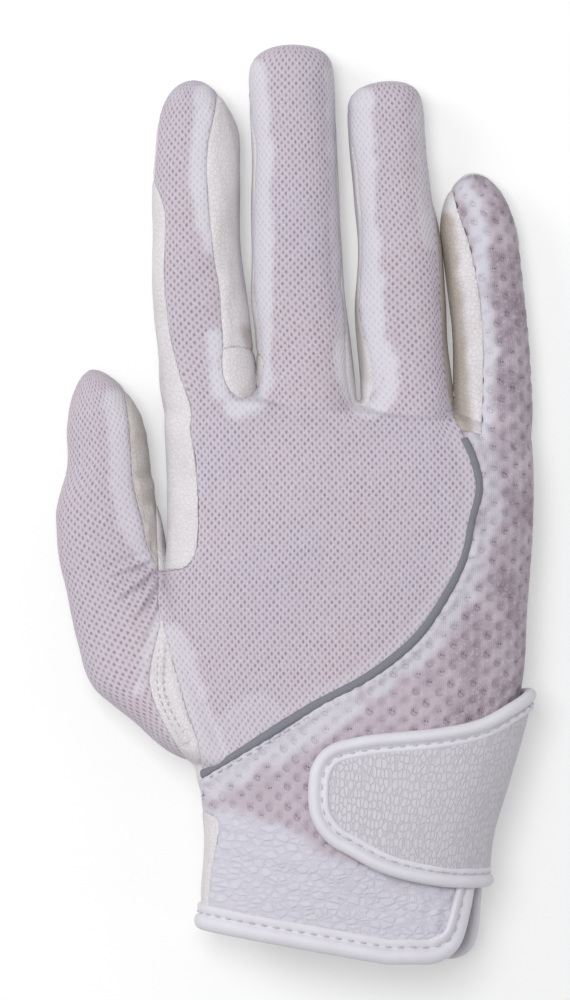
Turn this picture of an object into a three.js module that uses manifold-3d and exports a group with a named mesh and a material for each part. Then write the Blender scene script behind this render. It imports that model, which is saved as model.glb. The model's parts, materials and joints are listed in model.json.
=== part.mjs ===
// A right-hand riding glove, palm down on a table, fingers towards +Y, thumb towards -X.
// The skin is one hollow form: a hand tube, four finger tubes and a thumb tube are joined,
// the same tubes a wall thinner are taken out, and the wall is then parted along its seams
// into the cut pieces that a glover sews together.
import * as THREE from "three";
import { mergeVertices } from "three/addons/utils/BufferGeometryUtils.js";
import Module from "manifold-3d";

const wasm = await Module();
wasm.setup();

// Driving sizes, in millimetres.
const HAND_LENGTH = 135; // cuff hem to the web between index and middle finger
const PALM_BREADTH = 87.4; // across the knuckles
const PALM_DEPTH = 30; // the back of the hand above the table
const WALL = 1.4; // mesh cloth and leather
const SEAM_GAP = 0.3; // clearance between neighbouring pieces
const PRESS = 1.4; // how far the round underside is flattened by the table
const PIPING_WIDTH = 1.6; // the grey cord between fine mesh and spacer mesh
const BINDING_WIDTH = 6.2; // tape folded over the cuff hem
const BINDING_THICKNESS = 2.6;
const STRAP_RAISE = 2; // the strap stands this far off the skin where it crosses the vent
const STRAP_THICKNESS = 1.6;
const STRAP_EDGE_WIDTH = 4.8; // tape folded over the strap's edge
const STRAP_EDGE_THICKNESS = 2.8;
const STRAP_LOOP = 1.8; // slack of the strap where it turns round the side of the wrist
const FINGER_SEAM_LOW = 4.2; // height of the seam between palm leather and finger sides
const FINGER_SEAM_HIGH = 10; // height of the seam between finger sides and the back
const GUSSET_SEAM = 8; // lower edge of the small gusset in the crotch
const SIDE_SEAM = 6.4; // height of the seam between spacer mesh and palm leather
const WRIST_SEAM = 16; // the same seam at the wrist, inside the vent
const THUMB_SEAM = 5; // height of the seam round the thumb's outer side
const WEB_DOME = 3.5; // how far the webs round out past the last section of the hand
const SKY = 60; // above everything, for regions with no upper end

// The origin lies under the flat of the palm, this share of the hand's length above the hem.
const ORIGIN_UP = 0.68;

// Each digit: length from its root as a share of the hand's length, breadth and depth as
// shares of the palm's, its root on the hand (across in half palm breadths, up in hand
// lengths), its lean towards the thumb in degrees, and tip, the length over which the end
// rounds off, as a share of the palm's breadth. In the sections, along is the share of
// the length, side the centre's shift and breadth the width as shares of the breadth, and
// height the share of the depth.
const DIGITS = {
  index: {
    length: 0.5659, breadth: 0.2334, depth: 0.6167, across: -0.742, up: 0.994, lean: 2.9, tip: 0.1831,
    sections: [
      { along: -0.18, side: 0.16, breadth: 1.0, height: 1.16, rise: 0.15 },
      { along: 0, side: 0, breadth: 1.16, height: 1.1 },
      { along: 0.16, side: -0.04, breadth: 1.11, height: 1.02 },
      { along: 0.33, side: -0.07, breadth: 1.09, height: 1 },
      { along: 0.5, side: -0.085, breadth: 1.0, height: 1 },
      { along: 0.7, side: -0.055, breadth: 1.01, height: 0.97 },
      { along: 0.84, side: -0.01, breadth: 0.97, height: 0.92 },
      { along: 1, side: -0.04, breadth: 0.9, height: 0.84 },
    ],
  },
  middle: {
    length: 0.6207, breadth: 0.2414, depth: 0.6333, across: -0.225, up: 0.999, lean: 1.7, tip: 0.0915,
    sections: [
      { along: -0.18, side: 0.03, breadth: 1.1, height: 1.14, rise: 0.15 },
      { along: 0, side: 0, breadth: 1.14, height: 1.1 },
      { along: 0.14, side: -0.01, breadth: 1.07, height: 1.03 },
      { along: 0.3, side: -0.06, breadth: 1.06, height: 1 },
      { along: 0.47, side: -0.05, breadth: 1.01, height: 1 },
      { along: 0.7, side: -0.045, breadth: 0.95, height: 0.95 },
      { along: 0.88, side: -0.06, breadth: 0.98, height: 0.9 },
      { along: 1, side: -0.04, breadth: 0.95, height: 0.84 },
    ],
  },
  ring: {
    length: 0.5852, breadth: 0.2197, depth: 0.6, across: 0.335, up: 0.972, lean: 3.8, tip: 0.0915,
    sections: [
      { along: -0.18, side: 0.03, breadth: 1.1, height: 1.18, rise: 0.15 },
      { along: 0, side: 0, breadth: 1.16, height: 1.12 },
      { along: 0.14, side: 0, breadth: 1.12, height: 1.04 },
      { along: 0.34, side: 0, breadth: 1.13, height: 1 },
      { along: 0.5, side: 0.03, breadth: 1.04, height: 1 },
      { along: 0.7, side: -0.01, breadth: 0.95, height: 0.95 },
      { along: 0.88, side: -0.03, breadth: 0.94, height: 0.9 },
      { along: 1, side: -0.03, breadth: 0.93, height: 0.84 },
    ],
  },
  little: {
    length: 0.4585, breadth: 0.2197, depth: 0.55, across: 0.802, up: 0.937, lean: 3.2, tip: 0.1831,
    sections: [
      { along: -0.22, side: -0.12, breadth: 0.8, height: 1.2, rise: 0.15 },
      { along: 0, side: 0, breadth: 0.98, height: 1.12 },
      { along: 0.25, side: 0.04, breadth: 0.96, height: 1.04 },
      { along: 0.5, side: 0.03, breadth: 0.95, height: 1 },
      { along: 0.7, side: 0, breadth: 0.95, height: 0.96 },
      { along: 0.84, side: -0.04, breadth: 0.94, height: 0.9 },
      { along: 1, side: -0.06, breadth: 0.86, height: 0.84 },
    ],
  },
  thumb: {
    length: 0.6807, breadth: 0.2746, depth: 0.6333, across: -0.863, up: 0.386, lean: 13.75, tip: 0.1716, steps: 14,
    sections: [
      { along: -0.06, side: 0.3, breadth: 0.5, height: 1.2, rise: 0.3 },
      { along: 0, side: 0.12, breadth: 0.72, height: 1.28, rise: 0.24 },
      { along: 0.1, side: -0.02, breadth: 0.98, height: 1.3, rise: 0.16 },
      { along: 0.2, side: -0.14, breadth: 1.3, height: 1.26, rise: 0.06 },
      { along: 0.32, side: -0.205, breadth: 1.29, height: 1.14, rise: 0 },
      { along: 0.46, side: -0.296, breadth: 1.07, height: 1.02, rise: 0 },
      { along: 0.58, side: -0.28, breadth: 1.07, height: 0.98, rise: 0 },
      { along: 0.67, side: -0.245, breadth: 1.0, height: 0.96, rise: 0 },
      { along: 0.79, side: -0.11, breadth: 0.82, height: 0.94, rise: 0 },
      { along: 0.9, side: -0.07, breadth: 0.76, height: 0.9, rise: 0 },
      { along: 1, side: -0.07, breadth: 0.7, height: 0.84, rise: 0 },
    ],
  },
};

// The fold of skin between thumb and hand, a short tube like a digit.
DIGITS.web = {
  length: 0.3222, breadth: 0.1945, depth: 0.7333, across: -0.8, up: 0.36, lean: 10.8, tip: 0.1602,
  sections: [
    { along: -0.1, side: 0.4, breadth: 0.5, height: 0.8, rise: 0.3 },
    { along: 0.06, side: 0.22, breadth: 0.66, height: 0.95, rise: 0.22 },
    { along: 0.22, side: 0.08, breadth: 0.9, height: 1.1, rise: 0.12 },
    { along: 0.5, side: 0, breadth: 1.05, height: 1.1, rise: 0.02 },
    { along: 0.8, side: 0.02, breadth: 1, height: 1, rise: 0 },
    { along: 1, side: 0.05, breadth: 0.8, height: 0.8, rise: 0.05 },
  ],
};

// The hand tube from hem to webs. up_left and up_right are the heights of a section's two
// ends in hand lengths, so the hem and the row of webs can slope; left and right are its
// ends in half palm breadths; top is a share of the palm depth; lift is how much of the
// room for the strap lies under it.
const HAND = [
  { up_left: 0.082, up_right: -0.004, left: -0.81, right: 0.73, top: 1.02, lift: 1 },
  { up_left: 0.13, up_right: 0.06, left: -0.8, right: 0.755, top: 1.04, lift: 1 },
  { up_left: 0.19, up_right: 0.15, left: -0.785, right: 0.765, top: 1.05, lift: 1 },
  { up_left: 0.25, up_right: 0.23, left: -0.78, right: 0.775, top: 1.05, lift: 1 },
  { up_left: 0.33, up_right: 0.32, left: -0.82, right: 0.84, top: 1.03, lift: 1 },
  { up_left: 0.42, up_right: 0.42, left: -0.9, right: 0.91, top: 1.0, lift: 1 },
  { up_left: 0.52, up_right: 0.52, left: -0.97, right: 0.97, top: 0.98, lift: 0.45 },
  { up_left: 0.62, up_right: 0.62, left: -1.0, right: 0.99, top: 0.97, lift: 0 },
  { up_left: 0.74, up_right: 0.73, left: -0.99, right: 1.01, top: 0.95, lift: 0 },
  { up_left: 0.86, up_right: 0.83, left: -0.985, right: 1.022, top: 0.89, lift: 0 },
  { up_left: 0.95, up_right: 0.89, left: -1.0, right: 1.022, top: 0.8, lift: 0 },
  { up_left: 1.0, up_right: 0.94, left: -0.99, right: 1.012, top: 0.68, lift: 0 },
];
const HAND_END = 0.55; // the depth left at the webs, as a share of the last section's
const HAND_SQUARE = 2.5; // how square the hand's section is; 2 is an ellipse
const DIGIT_SQUARE = 2.3;

// Seams on the digits: along is the share of the length, across is in half breadths.
const INDEX_BACK_SEAM = [
  { along: 0.1, across: 0.33 }, { along: 0.22, across: 0.39 }, { along: 0.34, across: 0.42 },
  { along: 0.46, across: 0.38 }, { along: 0.58, across: 0.32 }, { along: 0.7, across: 0.26 },
  { along: 0.82, across: 0.27 }, { along: 0.9, across: 0.46 }, { along: 1.05, across: 0.8 },
];
const INDEX_WRAP_EDGE = [
  { along: -0.04, across: -0.47 }, { along: 0.1, across: -0.6 }, { along: 0.22, across: -0.72 },
  { along: 0.4, across: -0.75 }, { along: 0.62, across: -0.75 }, { along: 0.72, across: -1.05 },
];
const LITTLE_BACK_SEAM = [
  { along: -0.05, across: -0.37 }, { along: 0.2, across: -0.32 }, { along: 0.35, across: -0.25 },
  { along: 0.5, across: -0.21 }, { along: 0.62, across: -0.26 }, { along: 0.74, across: -0.34 },
  { along: 0.86, across: -0.5 }, { along: 1.05, across: -0.8 },
];
const THUMB_BACK_SEAM = [
  { along: 0.455, across: 0.8 }, { along: 0.52, across: 0.7 }, { along: 0.6, across: 0.66 },
  { along: 0.7, across: 0.61 }, { along: 0.8, across: 0.62 }, { along: 0.88, across: 0.69 },
  { along: 0.96, across: 0.8 }, { along: 1.05, across: 0.9 },
];

// Seams on the hand: across in half palm breadths, up in hand lengths.
const PIPING_LINE = [
  { across: 0.64, up: 0.926 }, { across: 0.69, up: 0.89 }, { across: 0.72, up: 0.84 },
  { across: 0.68, up: 0.782 }, { across: 0.635, up: 0.716 }, { across: 0.538, up: 0.652 },
  { across: 0.374, up: 0.576 }, { across: 0.132, up: 0.512 }, { across: -0.17, up: 0.459 },
  { across: -0.516, up: 0.389 }, { across: -0.79, up: 0.334 },
];
const WRAP_FOOT = [
  { across: -0.857, up: 0.951 }, { across: -0.827, up: 0.884 }, { across: -0.813, up: 0.82 },
  { across: -0.813, up: 0.765 }, { across: -0.83, up: 0.722 }, { across: -0.875, up: 0.7 },
  { across: -0.95, up: 0.694 }, { across: -1.2, up: 0.692 },
];
const THUMB_HOLE = [
  { across: -1.03, up: 0.7 }, { across: -1.035, up: 0.64 }, { across: -1.02, up: 0.6 },
  { across: -1.071, up: 0.533 }, { across: -1.082, up: 0.498 }, { across: -1.063, up: 0.466 },
  { across: -1.014, up: 0.43 }, { across: -0.956, up: 0.396 }, { across: -0.9, up: 0.37 },
  { across: -0.83, up: 0.34 },
];
const BACK_INNER_EDGE = [
  { across: -1.03, up: 0.7 }, { across: -1.035, up: 0.64 }, { across: -1.005, up: 0.6 },
  { across: -0.956, up: 0.539 }, { across: -0.907, up: 0.485 }, { across: -0.868, up: 0.441 },
  { across: -0.819, up: 0.399 }, { across: -0.79, up: 0.334 },
];
const CUFF_INNER_EDGE = [
  { across: -0.79, up: 0.334 }, { across: -0.783, up: 0.27 }, { across: -0.705, up: 0.256 },
  { across: -0.716, up: 0.215 }, { across: -0.75, up: 0.16 }, { across: -0.765, up: 0.1 },
  { across: -0.77, up: -0.1 },
];
const GUSSET = [
  { across: -0.682, up: 1.08 }, { across: -0.66, up: 1.03 }, { across: -0.633, up: 1.004 },
  { across: -0.59, up: 0.993 }, { across: -0.545, up: 1.014 }, { across: -0.51, up: 1.038 },
  { across: -0.475, up: 1.068 }, { across: -0.53, up: 1.081 }, { across: -0.6, up: 1.086 },
];

// The strap round the wrist: angle is measured round the hand's section from its outer side,
// over the back; low and high are its edges in hand lengths, and rise is the share of
// STRAP_RAISE by which it stands off the skin.
const STRAP = [
  { angle: -72, low: 0.165, high: 0.43, rise: 0.6 },
  { angle: -48, low: 0.158, high: 0.445, rise: 0.8 },
  { angle: -22, low: 0.15, high: 0.463, rise: 1 },
  { angle: 2, low: 0.147, high: 0.466, rise: 1 },
  { angle: 25, low: 0.146, high: 0.446, rise: 1 },
  { angle: 46, low: 0.15, high: 0.415, rise: 0.95 },
  { angle: 65, low: 0.161, high: 0.4, rise: 0.75 },
  { angle: 80, low: 0.179, high: 0.393, rise: 0.65 },
  { angle: 91, low: 0.207, high: 0.386, rise: 0.6 },
  { angle: 98, low: 0.239, high: 0.369, rise: 0.6 },
  { angle: 101.5, low: 0.268, high: 0.343, rise: 0.6 },
  { angle: 102.5, low: 0.292, high: 0.317, rise: 0.6 },
];

// The vent at the outer side of the cuff: the angles of the tape on its two edges.
const VENT = [
  { up: 0.05, back: 40, palm: -24 },
  { up: 0.1, back: 34, palm: -20 },
  { up: 0.2, back: 24, palm: -17 },
  { up: 0.3, back: 14, palm: -14 },
];
const HEM_UP = 0.024; // the middle of the tape round the hem
const HEM_CORNER = 10; // degrees over which the tape turns from the vent into the hem

const strap_room = STRAP_RAISE + (STRAP_THICKNESS + STRAP_EDGE_THICKNESS) / 2 + 0.1;
const CLEAN = 0.08; // edges shorter than this are closed up after the cuts
const radians = THREE.MathUtils.degToRad;

// A smooth curve through one column of a table, against its first column.
function column(rows, key, name) {
  const line = new THREE.CubicInterpolant(
    rows.map((row) => row[key]),
    rows.map((row) => row[name]),
    1,
  );
  return (at) => line.evaluate(THREE.MathUtils.clamp(at, rows[0][key], rows[rows.length - 1][key]))[0];
}

// cos or sin raised so that a circle becomes a rounder or squarer oval.
function oval(value, square) {
  const nearZero = 1e-9;
  return Math.abs(value) < nearZero ? 0 : Math.sign(value) * Math.abs(value) ** (2 / square);
}

// A closed three.js geometry whose vertices are moved by place(position), as a solid.
function solid(geometry, place = (p) => p) {
  const moved = geometry.clone();
  moved.deleteAttribute("normal");
  moved.deleteAttribute("uv");
  const position = moved.attributes.position;
  const point = new THREE.Vector3();
  for (let i = 0; i < position.count; i++) {
    const to = place(point.fromBufferAttribute(position, i));
    position.setXYZ(i, to.x, to.y, to.z);
  }
  const merged = mergeVertices(moved, 1e-4);
  const corners = [];
  const index = merged.index.array;
  for (let i = 0; i < index.length; i += 3) {
    const [a, b, c] = [index[i], index[i + 1], index[i + 2]];
    if (a !== b && b !== c && c !== a) corners.push(a, b, c);
  }
  const vertProperties = merged.attributes.position.array;
  const mesh = { numProp: 3, vertProperties, triVerts: new Uint32Array(corners) };
  const made = new wasm.Manifold(new wasm.Mesh(mesh));
  if (made.volume() > 0) return made;
  mesh.triVerts.reverse();
  return new wasm.Manifold(new wasm.Mesh(mesh));
}

// A unit cylinder along Y, with round(angle, share) giving each vertex's new place.
function tube(sides, steps, round) {
  const cylinder = new THREE.CylinderGeometry(1, 1, 1, sides, steps);
  const onAxis = 0.5; // cap centres lie on the axis, rim vertices a whole unit off it
  return solid(cylinder, (p) => {
    const away = Math.hypot(p.x, p.z);
    return round(Math.atan2(p.z, p.x), p.y + 0.5, away > onAxis ? 1 : 0);
  });
}

// The hand's own coordinates and each digit's, as points in plan.
function onHand({ across, up }) {
  return new THREE.Vector2((across * PALM_BREADTH) / 2, (up - ORIGIN_UP) * HAND_LENGTH);
}

for (const digit of Object.values(DIGITS)) {
  digit.length *= HAND_LENGTH;
  digit.breadth *= PALM_BREADTH;
  digit.depth *= PALM_DEPTH;
  digit.tip *= PALM_BREADTH;
  digit.root = onHand(digit);
  digit.axis = new THREE.Vector2(-Math.sin(radians(digit.lean)), Math.cos(radians(digit.lean)));
  digit.right = new THREE.Vector2(digit.axis.y, -digit.axis.x);
  for (const name of ["side", "breadth", "height", "rise"]) {
    const rows = digit.sections.map((row) => ({ rise: 0, ...row }));
    digit[name + "_at"] = column(rows, "along", name);
  }
}

function onDigit(digit, along, across) {
  const sideways = digit.breadth * (digit.side_at(along) + (across * digit.breadth_at(along)) / 2);
  return digit.root
    .clone()
    .addScaledVector(digit.axis, along * digit.length)
    .addScaledVector(digit.right, sideways);
}

// One digit's tube, inset from the outer surface.
const DIGIT_SIDES = 14;
const TIP_STEPS = 4;
function digitTube(digit, inset) {
  const steps = digit.steps ?? 9;
  const begin = digit.sections[0].along + inset / digit.length;
  const reach = digit.length - inset;
  const tipStart = (digit.length - digit.tip) / digit.length;
  const straight = (steps - TIP_STEPS) / steps;
  return tube(DIGIT_SIDES, steps, (angle, share, rim) => {
    let along = begin + ((tipStart - begin) * share) / straight;
    let round = 1;
    if (share > straight) {
      const turn = ((share - straight) / (1 - straight)) * (Math.PI / 2);
      along = tipStart + (reach / digit.length - tipStart) * Math.sin(turn);
      round = Math.max(0, Math.cos(turn)) ** 0.9;
    }
    const half = Math.max(0, (digit.breadth * digit.breadth_at(along)) / 2 - inset) * round;
    const high = (digit.depth * digit.height_at(along)) / 2;
    const tall = Math.max(0, high - inset) * round;
    const centre = onDigit(digit, along, 0);
    const out = rim * half * oval(Math.cos(angle), DIGIT_SQUARE);
    const rise = digit.depth * digit.rise_at(along);
    const z = rise + high - PRESS + rim * tall * oval(Math.sin(angle), DIGIT_SQUARE);
    return new THREE.Vector3(
      centre.x + digit.right.x * out,
      centre.y + digit.right.y * out,
      Math.max(z, inset),
    );
  });
}

// A point on the hand tube, at a share of its sections, inset from the outer surface.
const HAND_SIDES = 32;
const row_count = HAND.length - 1;
const hand_rows = HAND.map((row, i) => ({ share: i / row_count, ...row }));
const handColumn = {};
for (const name of ["up_left", "up_right", "left", "right", "top", "lift"]) {
  handColumn[name] = column(hand_rows, "share", name);
}

function handPoint(share, angle, inset, flat = 1) {
  const at = (name) => handColumn[name](share);
  const left = (at("left") * PALM_BREADTH) / 2 + inset;
  const right = (at("right") * PALM_BREADTH) / 2 - inset;
  const floor = at("lift") * strap_room + inset;
  const bottom = at("lift") * strap_room - PRESS * (1 - at("lift")) + inset;
  const top = at("top") * PALM_DEPTH - inset;
  const across = oval(Math.cos(angle), HAND_SQUARE);
  const x = (left + right) / 2 + ((right - left) / 2) * across;
  const mix = THREE.MathUtils.clamp((1 + across) / 2, 0, 1);
  const up = THREE.MathUtils.lerp(at("up_left"), at("up_right"), mix);
  const half = ((top - bottom) / 2) * flat;
  const z = bottom + half + half * oval(Math.sin(angle), HAND_SQUARE);
  return new THREE.Vector3(x, (up - ORIGIN_UP) * HAND_LENGTH, Math.max(z, floor));
}

// The share of the hand's sections that lies up hand lengths above the hem at that angle.
function shareAt(up, angle) {
  let low = 0;
  let high = 1;
  const wanted = (up - ORIGIN_UP) * HAND_LENGTH;
  const halvings = 24;
  for (let i = 0; i < halvings; i++) {
    const middle = (low + high) / 2;
    if (handPoint(middle, angle, 0).y < wanted) low = middle;
    else high = middle;
  }
  return low;
}

function handTube(inset, overshoot = 0) {
  const steps = 12;
  return tube(HAND_SIDES, steps, (angle, step, rim) => {
    const share = Math.min(1, (step * steps) / (steps - 1));
    const flat = step > 1 - 0.5 / steps ? HAND_END : 1;
    const p = handPoint(share, angle, inset, flat);
    if (rim === 0) {
      const a = handPoint(share, 0, inset, flat);
      const b = handPoint(share, Math.PI, inset, flat);
      p.copy(a.add(b).multiplyScalar(0.5));
    }
    if (step === 0) p.y -= overshoot;
    if (flat < 1) p.y += WEB_DOME - inset;
    return p;
  });
}

// A vertical prism over an outline in plan, between two heights.
function prism(outline, from, to, grow = 0) {
  const points = grow ? grown(outline, grow) : outline;
  const shape = new THREE.Shape(points);
  const extruded = new THREE.ExtrudeGeometry(shape, { depth: to - from + 2 * grow, bevelEnabled: false });
  return solid(extruded.translate(0, 0, from - grow));
}

// An outline moved outwards by a small distance.
function grown(outline, distance) {
  const turn = THREE.ShapeUtils.area(outline) > 0 ? 1 : -1;
  const n = outline.length;
  return outline.map((p, i) => {
    const ahead = outline[(i + 1) % n].clone().sub(p).normalize();
    const behind = p.clone().sub(outline[(i + n - 1) % n]).normalize();
    const normals = [ahead, behind].map((d) => new THREE.Vector2(d.y, -d.x).multiplyScalar(turn));
    const outward = normals[0].add(normals[1]).normalize();
    return p.clone().addScaledVector(outward, distance);
  });
}

// The part of a digit between two seams, in plan.
function digitStrip(digit, left, right) {
  const edge = (rows) => rows.map((row) => onDigit(digit, row.along, row.across));
  return [...edge(left), ...edge(right).reverse()];
}
function straightEdge(from, to, across) {
  return [{ along: from, across }, { along: (from + to) / 2, across }, { along: to, across }];
}

// A bar with an oval section swept along points, each with a normal to the skin there.
const BAR_SQUARE = 3.2;
function sweep(stations, width, thickness, sides, square) {
  const last = stations.length - 1;
  return tube(sides, last, (angle, share, rim) => {
    const i = Math.round(share * last);
    const { point, normal } = stations[i];
    const ahead = stations[Math.min(last, i + 1)].point.clone();
    const along = ahead.sub(stations[Math.max(0, i - 1)].point).normalize();
    const sideways = new THREE.Vector3().crossVectors(along, normal).normalize();
    const up = new THREE.Vector3().crossVectors(sideways, along).normalize();
    return point
      .clone()
      .addScaledVector(sideways, (rim * width * oval(Math.cos(angle), square)) / 2)
      .addScaledVector(up, (rim * thickness * oval(Math.sin(angle), square)) / 2);
  });
}

// A station of a sweep on the hand's skin, raised above its outer surface.
function handStation(up, angle, raise) {
  const share = shareAt(up, angle);
  const point = handPoint(share, angle, -raise);
  const normal = handPoint(share, angle, -raise - 1).sub(handPoint(share, angle, -raise));
  return { point, normal: normal.normalize() };
}

// The skin's upper surface over a point of the hand in plan, raised by a small distance.
function skinOver({ across, up }, raise = 0) {
  let low = 0;
  let high = Math.PI;
  const x = (across * PALM_BREADTH) / 2;
  const halvings = 20;
  for (let i = 0; i < halvings; i++) {
    const angle = (low + high) / 2;
    if (handPoint(shareAt(up, angle), angle, 0).x > x) low = angle;
    else high = angle;
  }
  return handPoint(shareAt(up, low), low, -raise);
}

// The outer form, the hollow, and the wall between them.
function wholeForm(inset) {
  const digits = Object.values(DIGITS).map((digit) => digitTube(digit, inset));
  return digits.reduce((sum, digit) => sum.add(digit), handTube(inset, inset));
}
const { index, middle, ring, little, thumb } = DIGITS;

// The grey cord lies on the back of the hand; its seam parts the wall right through.
function smooth(points, count) {
  return new THREE.CatmullRomCurve3(points).getSpacedPoints(count);
}
const pipingStations = smooth(PIPING_LINE.map((at) => skinOver(at)), 32).map((point) => {
  const over = skinOver({ across: (2 * point.x) / PALM_BREADTH, up: point.y / HAND_LENGTH + ORIGIN_UP });
  const above = skinOver({ across: (2 * point.x) / PALM_BREADTH, up: point.y / HAND_LENGTH + ORIGIN_UP }, 1);
  const slope = above.clone().sub(over);
  return { point: over, normal: slope.lengthSq() > 0 ? slope.normalize() : new THREE.Vector3(0, 0, 1) };
});
const sunk = (stations, depth) =>
  stations.map(({ point, normal }) => ({ point: point.clone().addScaledVector(normal, -depth), normal }));
const pipingSides = 6;
// The same stations with both ends carried on past a seam's gap, for cutting.
function longer(stations) {
  const carried = (end, next) => {
    const ahead = end.point.clone().sub(next.point).normalize();
    return { point: end.point.clone().addScaledVector(ahead, 2 * SEAM_GAP), normal: end.normal };
  };
  const last = stations.length - 1;
  const first = carried(stations[0], stations[1]);
  const end = carried(stations[last], stations[last - 1]);
  return [first, ...stations.slice(1, last), end];
}
const piping = sweep(sunk(pipingStations, WALL / 4), PIPING_WIDTH, PIPING_WIDTH, pipingSides, 2);
const cutDeep = 4 * WALL;
const pipingSeam = sweep(longer(pipingStations), PIPING_WIDTH + 2 * SEAM_GAP, cutDeep, pipingSides, 8);

// The tape over the hem and the vent.
const bendUp = HEM_UP + 0.003;
const hemAngles = [66, 90, 130, 180, 230, 270, 310];
const BINDING_PATH = [
  ...VENT.map(({ up, back }) => ({ angle: back, up })).reverse(),
  { angle: VENT[0].back + HEM_CORNER, up: bendUp },
  ...hemAngles.map((angle) => ({ angle, up: HEM_UP })),
  { angle: 360 + VENT[0].palm - HEM_CORNER, up: bendUp },
  ...VENT.map(({ up, palm }) => ({ angle: 360 + palm, up })),
];
const bindingPath = smooth(BINDING_PATH.map(({ angle, up }) => new THREE.Vector3(angle, up * 100, 0)), 54);
const bindingStations = bindingPath.map((at) => handStation(at.y / 100, radians(at.x), -WALL / 2));
const bindingSides = 8;
const cuffBinding = sweep(bindingStations, BINDING_WIDTH, BINDING_THICKNESS, bindingSides, BAR_SQUARE);
const bindingSeam = sweep(longer(bindingStations), BINDING_WIDTH + 2 * SEAM_GAP, cutDeep, bindingSides, 8);

// What the vent leaves open between its two edges.
const ventEdge = { back: column(VENT, "up", "back"), palm: column(VENT, "up", "palm") };
const ventOpening = solid(new THREE.BoxGeometry(1, 1, 1, 6, 6, 1), (p) => {
  const up = THREE.MathUtils.lerp(-2 * HEM_UP, VENT[VENT.length - 1].up, p.y + 0.5);
  const angle = THREE.MathUtils.lerp(ventEdge.palm(up), ventEdge.back(up), p.x + 0.5);
  const { point, normal } = handStation(Math.max(up, 0), radians(angle), p.z * cutDeep);
  return point.add(new THREE.Vector3(0, Math.min(up, 0) * HAND_LENGTH, 0));
});

// Regions of the skin, in plan and in height.
const between = (from, to) => ({ from, to });
const far = 1.9;
const webLine = [
  { across: -1.15, up: 1.1 }, { across: -1.1, up: 0.98 }, { across: -1.04, up: 0.82 },
];
const thumbOutline = [
  ...webLine, ...THUMB_HOLE, { across: -0.83, up: 0.2 }, { across: -far, up: 0.2 }, { across: -far, up: 1.1 },
].map(onHand);
const thumbInner = [
  ...THUMB_BACK_SEAM.map((row) => onDigit(thumb, row.along, row.across)),
  onDigit(thumb, 1.05, 2.2),
  onHand({ across: -0.9, up: 0.9 }),
  onHand({ across: -0.9, up: 0.69 }),
];
const wrapOutline = [
  ...INDEX_WRAP_EDGE.map((row) => onDigit(index, row.along, row.across)).reverse(),
  ...WRAP_FOOT.map(onHand),
  onHand({ across: -1.2, up: 0.8 }),
  onDigit(index, 0.3, -1.6),
  onDigit(index, 0.72, -1.6),
];
const digitEnd = 0.93;
const fourchette = (left, right) => [
  onDigit(left, -0.05, 0), onDigit(left, 0.45, 0), onDigit(left, digitEnd, 0),
  onDigit(right, digitEnd, 0), onDigit(right, 0.45, 0), onDigit(right, -0.05, 0),
];
const indexInner = digitStrip(index, INDEX_BACK_SEAM, straightEdge(0.1, 1.05, 1.15));
const littleEdge = [
  { along: -0.04, across: -0.82 }, { along: 0.06, across: -1 }, { along: 0.2, across: -1.2 },
  { along: 1.2, across: -1.2 },
];
const littleInner = digitStrip(little, littleEdge, LITTLE_BACK_SEAM);
const littleGap = littleEdge.map((row) => onDigit(little, row.along, row.across));
const everyOther = pipingStations.filter((_, i) => i % 2 === 0);
const pipingPlan = everyOther.map(({ point }) => new THREE.Vector2(point.x, point.y));
const backOutline = [
  ...BACK_INNER_EDGE.map(onHand),
  ...pipingPlan.slice(0, -1).reverse(),
  ...littleGap,
  onHand({ across: 0.6, up: 1.75 }),
  onHand({ across: -far, up: 1.75 }),
  onHand({ across: -far, up: 0.75 }),
];
const sideOutline = [
  ...CUFF_INNER_EDGE.map(onHand),
  onHand({ across: far, up: -0.1 }),
  onHand({ across: far, up: 1.6 }),
  ...littleGap.reverse(),
  ...pipingPlan.slice(0, -1),
];
const sideLevel = [
  { up: -0.1, z: WRIST_SEAM }, { up: 0.34, z: WRIST_SEAM }, { up: 0.46, z: 0.7 * WRIST_SEAM },
  { up: 0.6, z: SIDE_SEAM }, { up: 1.6, z: SIDE_SEAM },
];

// Parts the skin: each piece takes its region, and the rest keeps a seam's gap away from it.
let rest = wholeForm(0).subtract(wholeForm(WALL)).subtract(pipingSeam).subtract(bindingSeam).subtract(ventOpening);
const pieces = {};
function takePiece(name, prisms, grownPrisms) {
  const join = (list) => list.reduce((sum, one) => sum.add(one));
  pieces[name] = rest.intersect(join(prisms));
  rest = rest.subtract(join(grownPrisms ?? prisms));
}
function take(name, regions) {
  takePiece(
    name,
    regions.map(([outline, from, to]) => prism(outline, from, to)),
    regions.map(([outline, from, to]) => prism(outline, from, to, SEAM_GAP)),
  );
}
const floor = -10;
const everywhere = [
  { across: -far, up: 0.1 }, { across: -0.8, up: 0.1 }, { across: -0.8, up: 1.15 }, { across: -far, up: 1.15 },
].map(onHand);
const thumbRegion = (grow) => prism(thumbOutline, floor, SKY, grow);
const thumbUnder = (grow) => prism(everywhere, floor, THUMB_SEAM, grow).add(prism(thumbInner, floor, SKY, grow));
takePiece(
  "thumb_palm",
  [thumbRegion(0).intersect(thumbUnder(0))],
  [thumbRegion(SEAM_GAP).intersect(thumbUnder(SEAM_GAP))],
);
takePiece("thumb_back", [thumbRegion(0)], [thumbRegion(SEAM_GAP)]);
take("gusset_index_middle", [[GUSSET.map(onHand), GUSSET_SEAM, SKY]]);
take("index_wrap", [[wrapOutline, FINGER_SEAM_LOW, SKY]]);
take("fourchette_index_middle", [
  [fourchette(index, middle), FINGER_SEAM_LOW, FINGER_SEAM_HIGH],
  [indexInner, FINGER_SEAM_LOW, SKY],
]);
take("fourchette_middle_ring", [[fourchette(middle, ring), FINGER_SEAM_LOW, FINGER_SEAM_HIGH]]);
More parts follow.
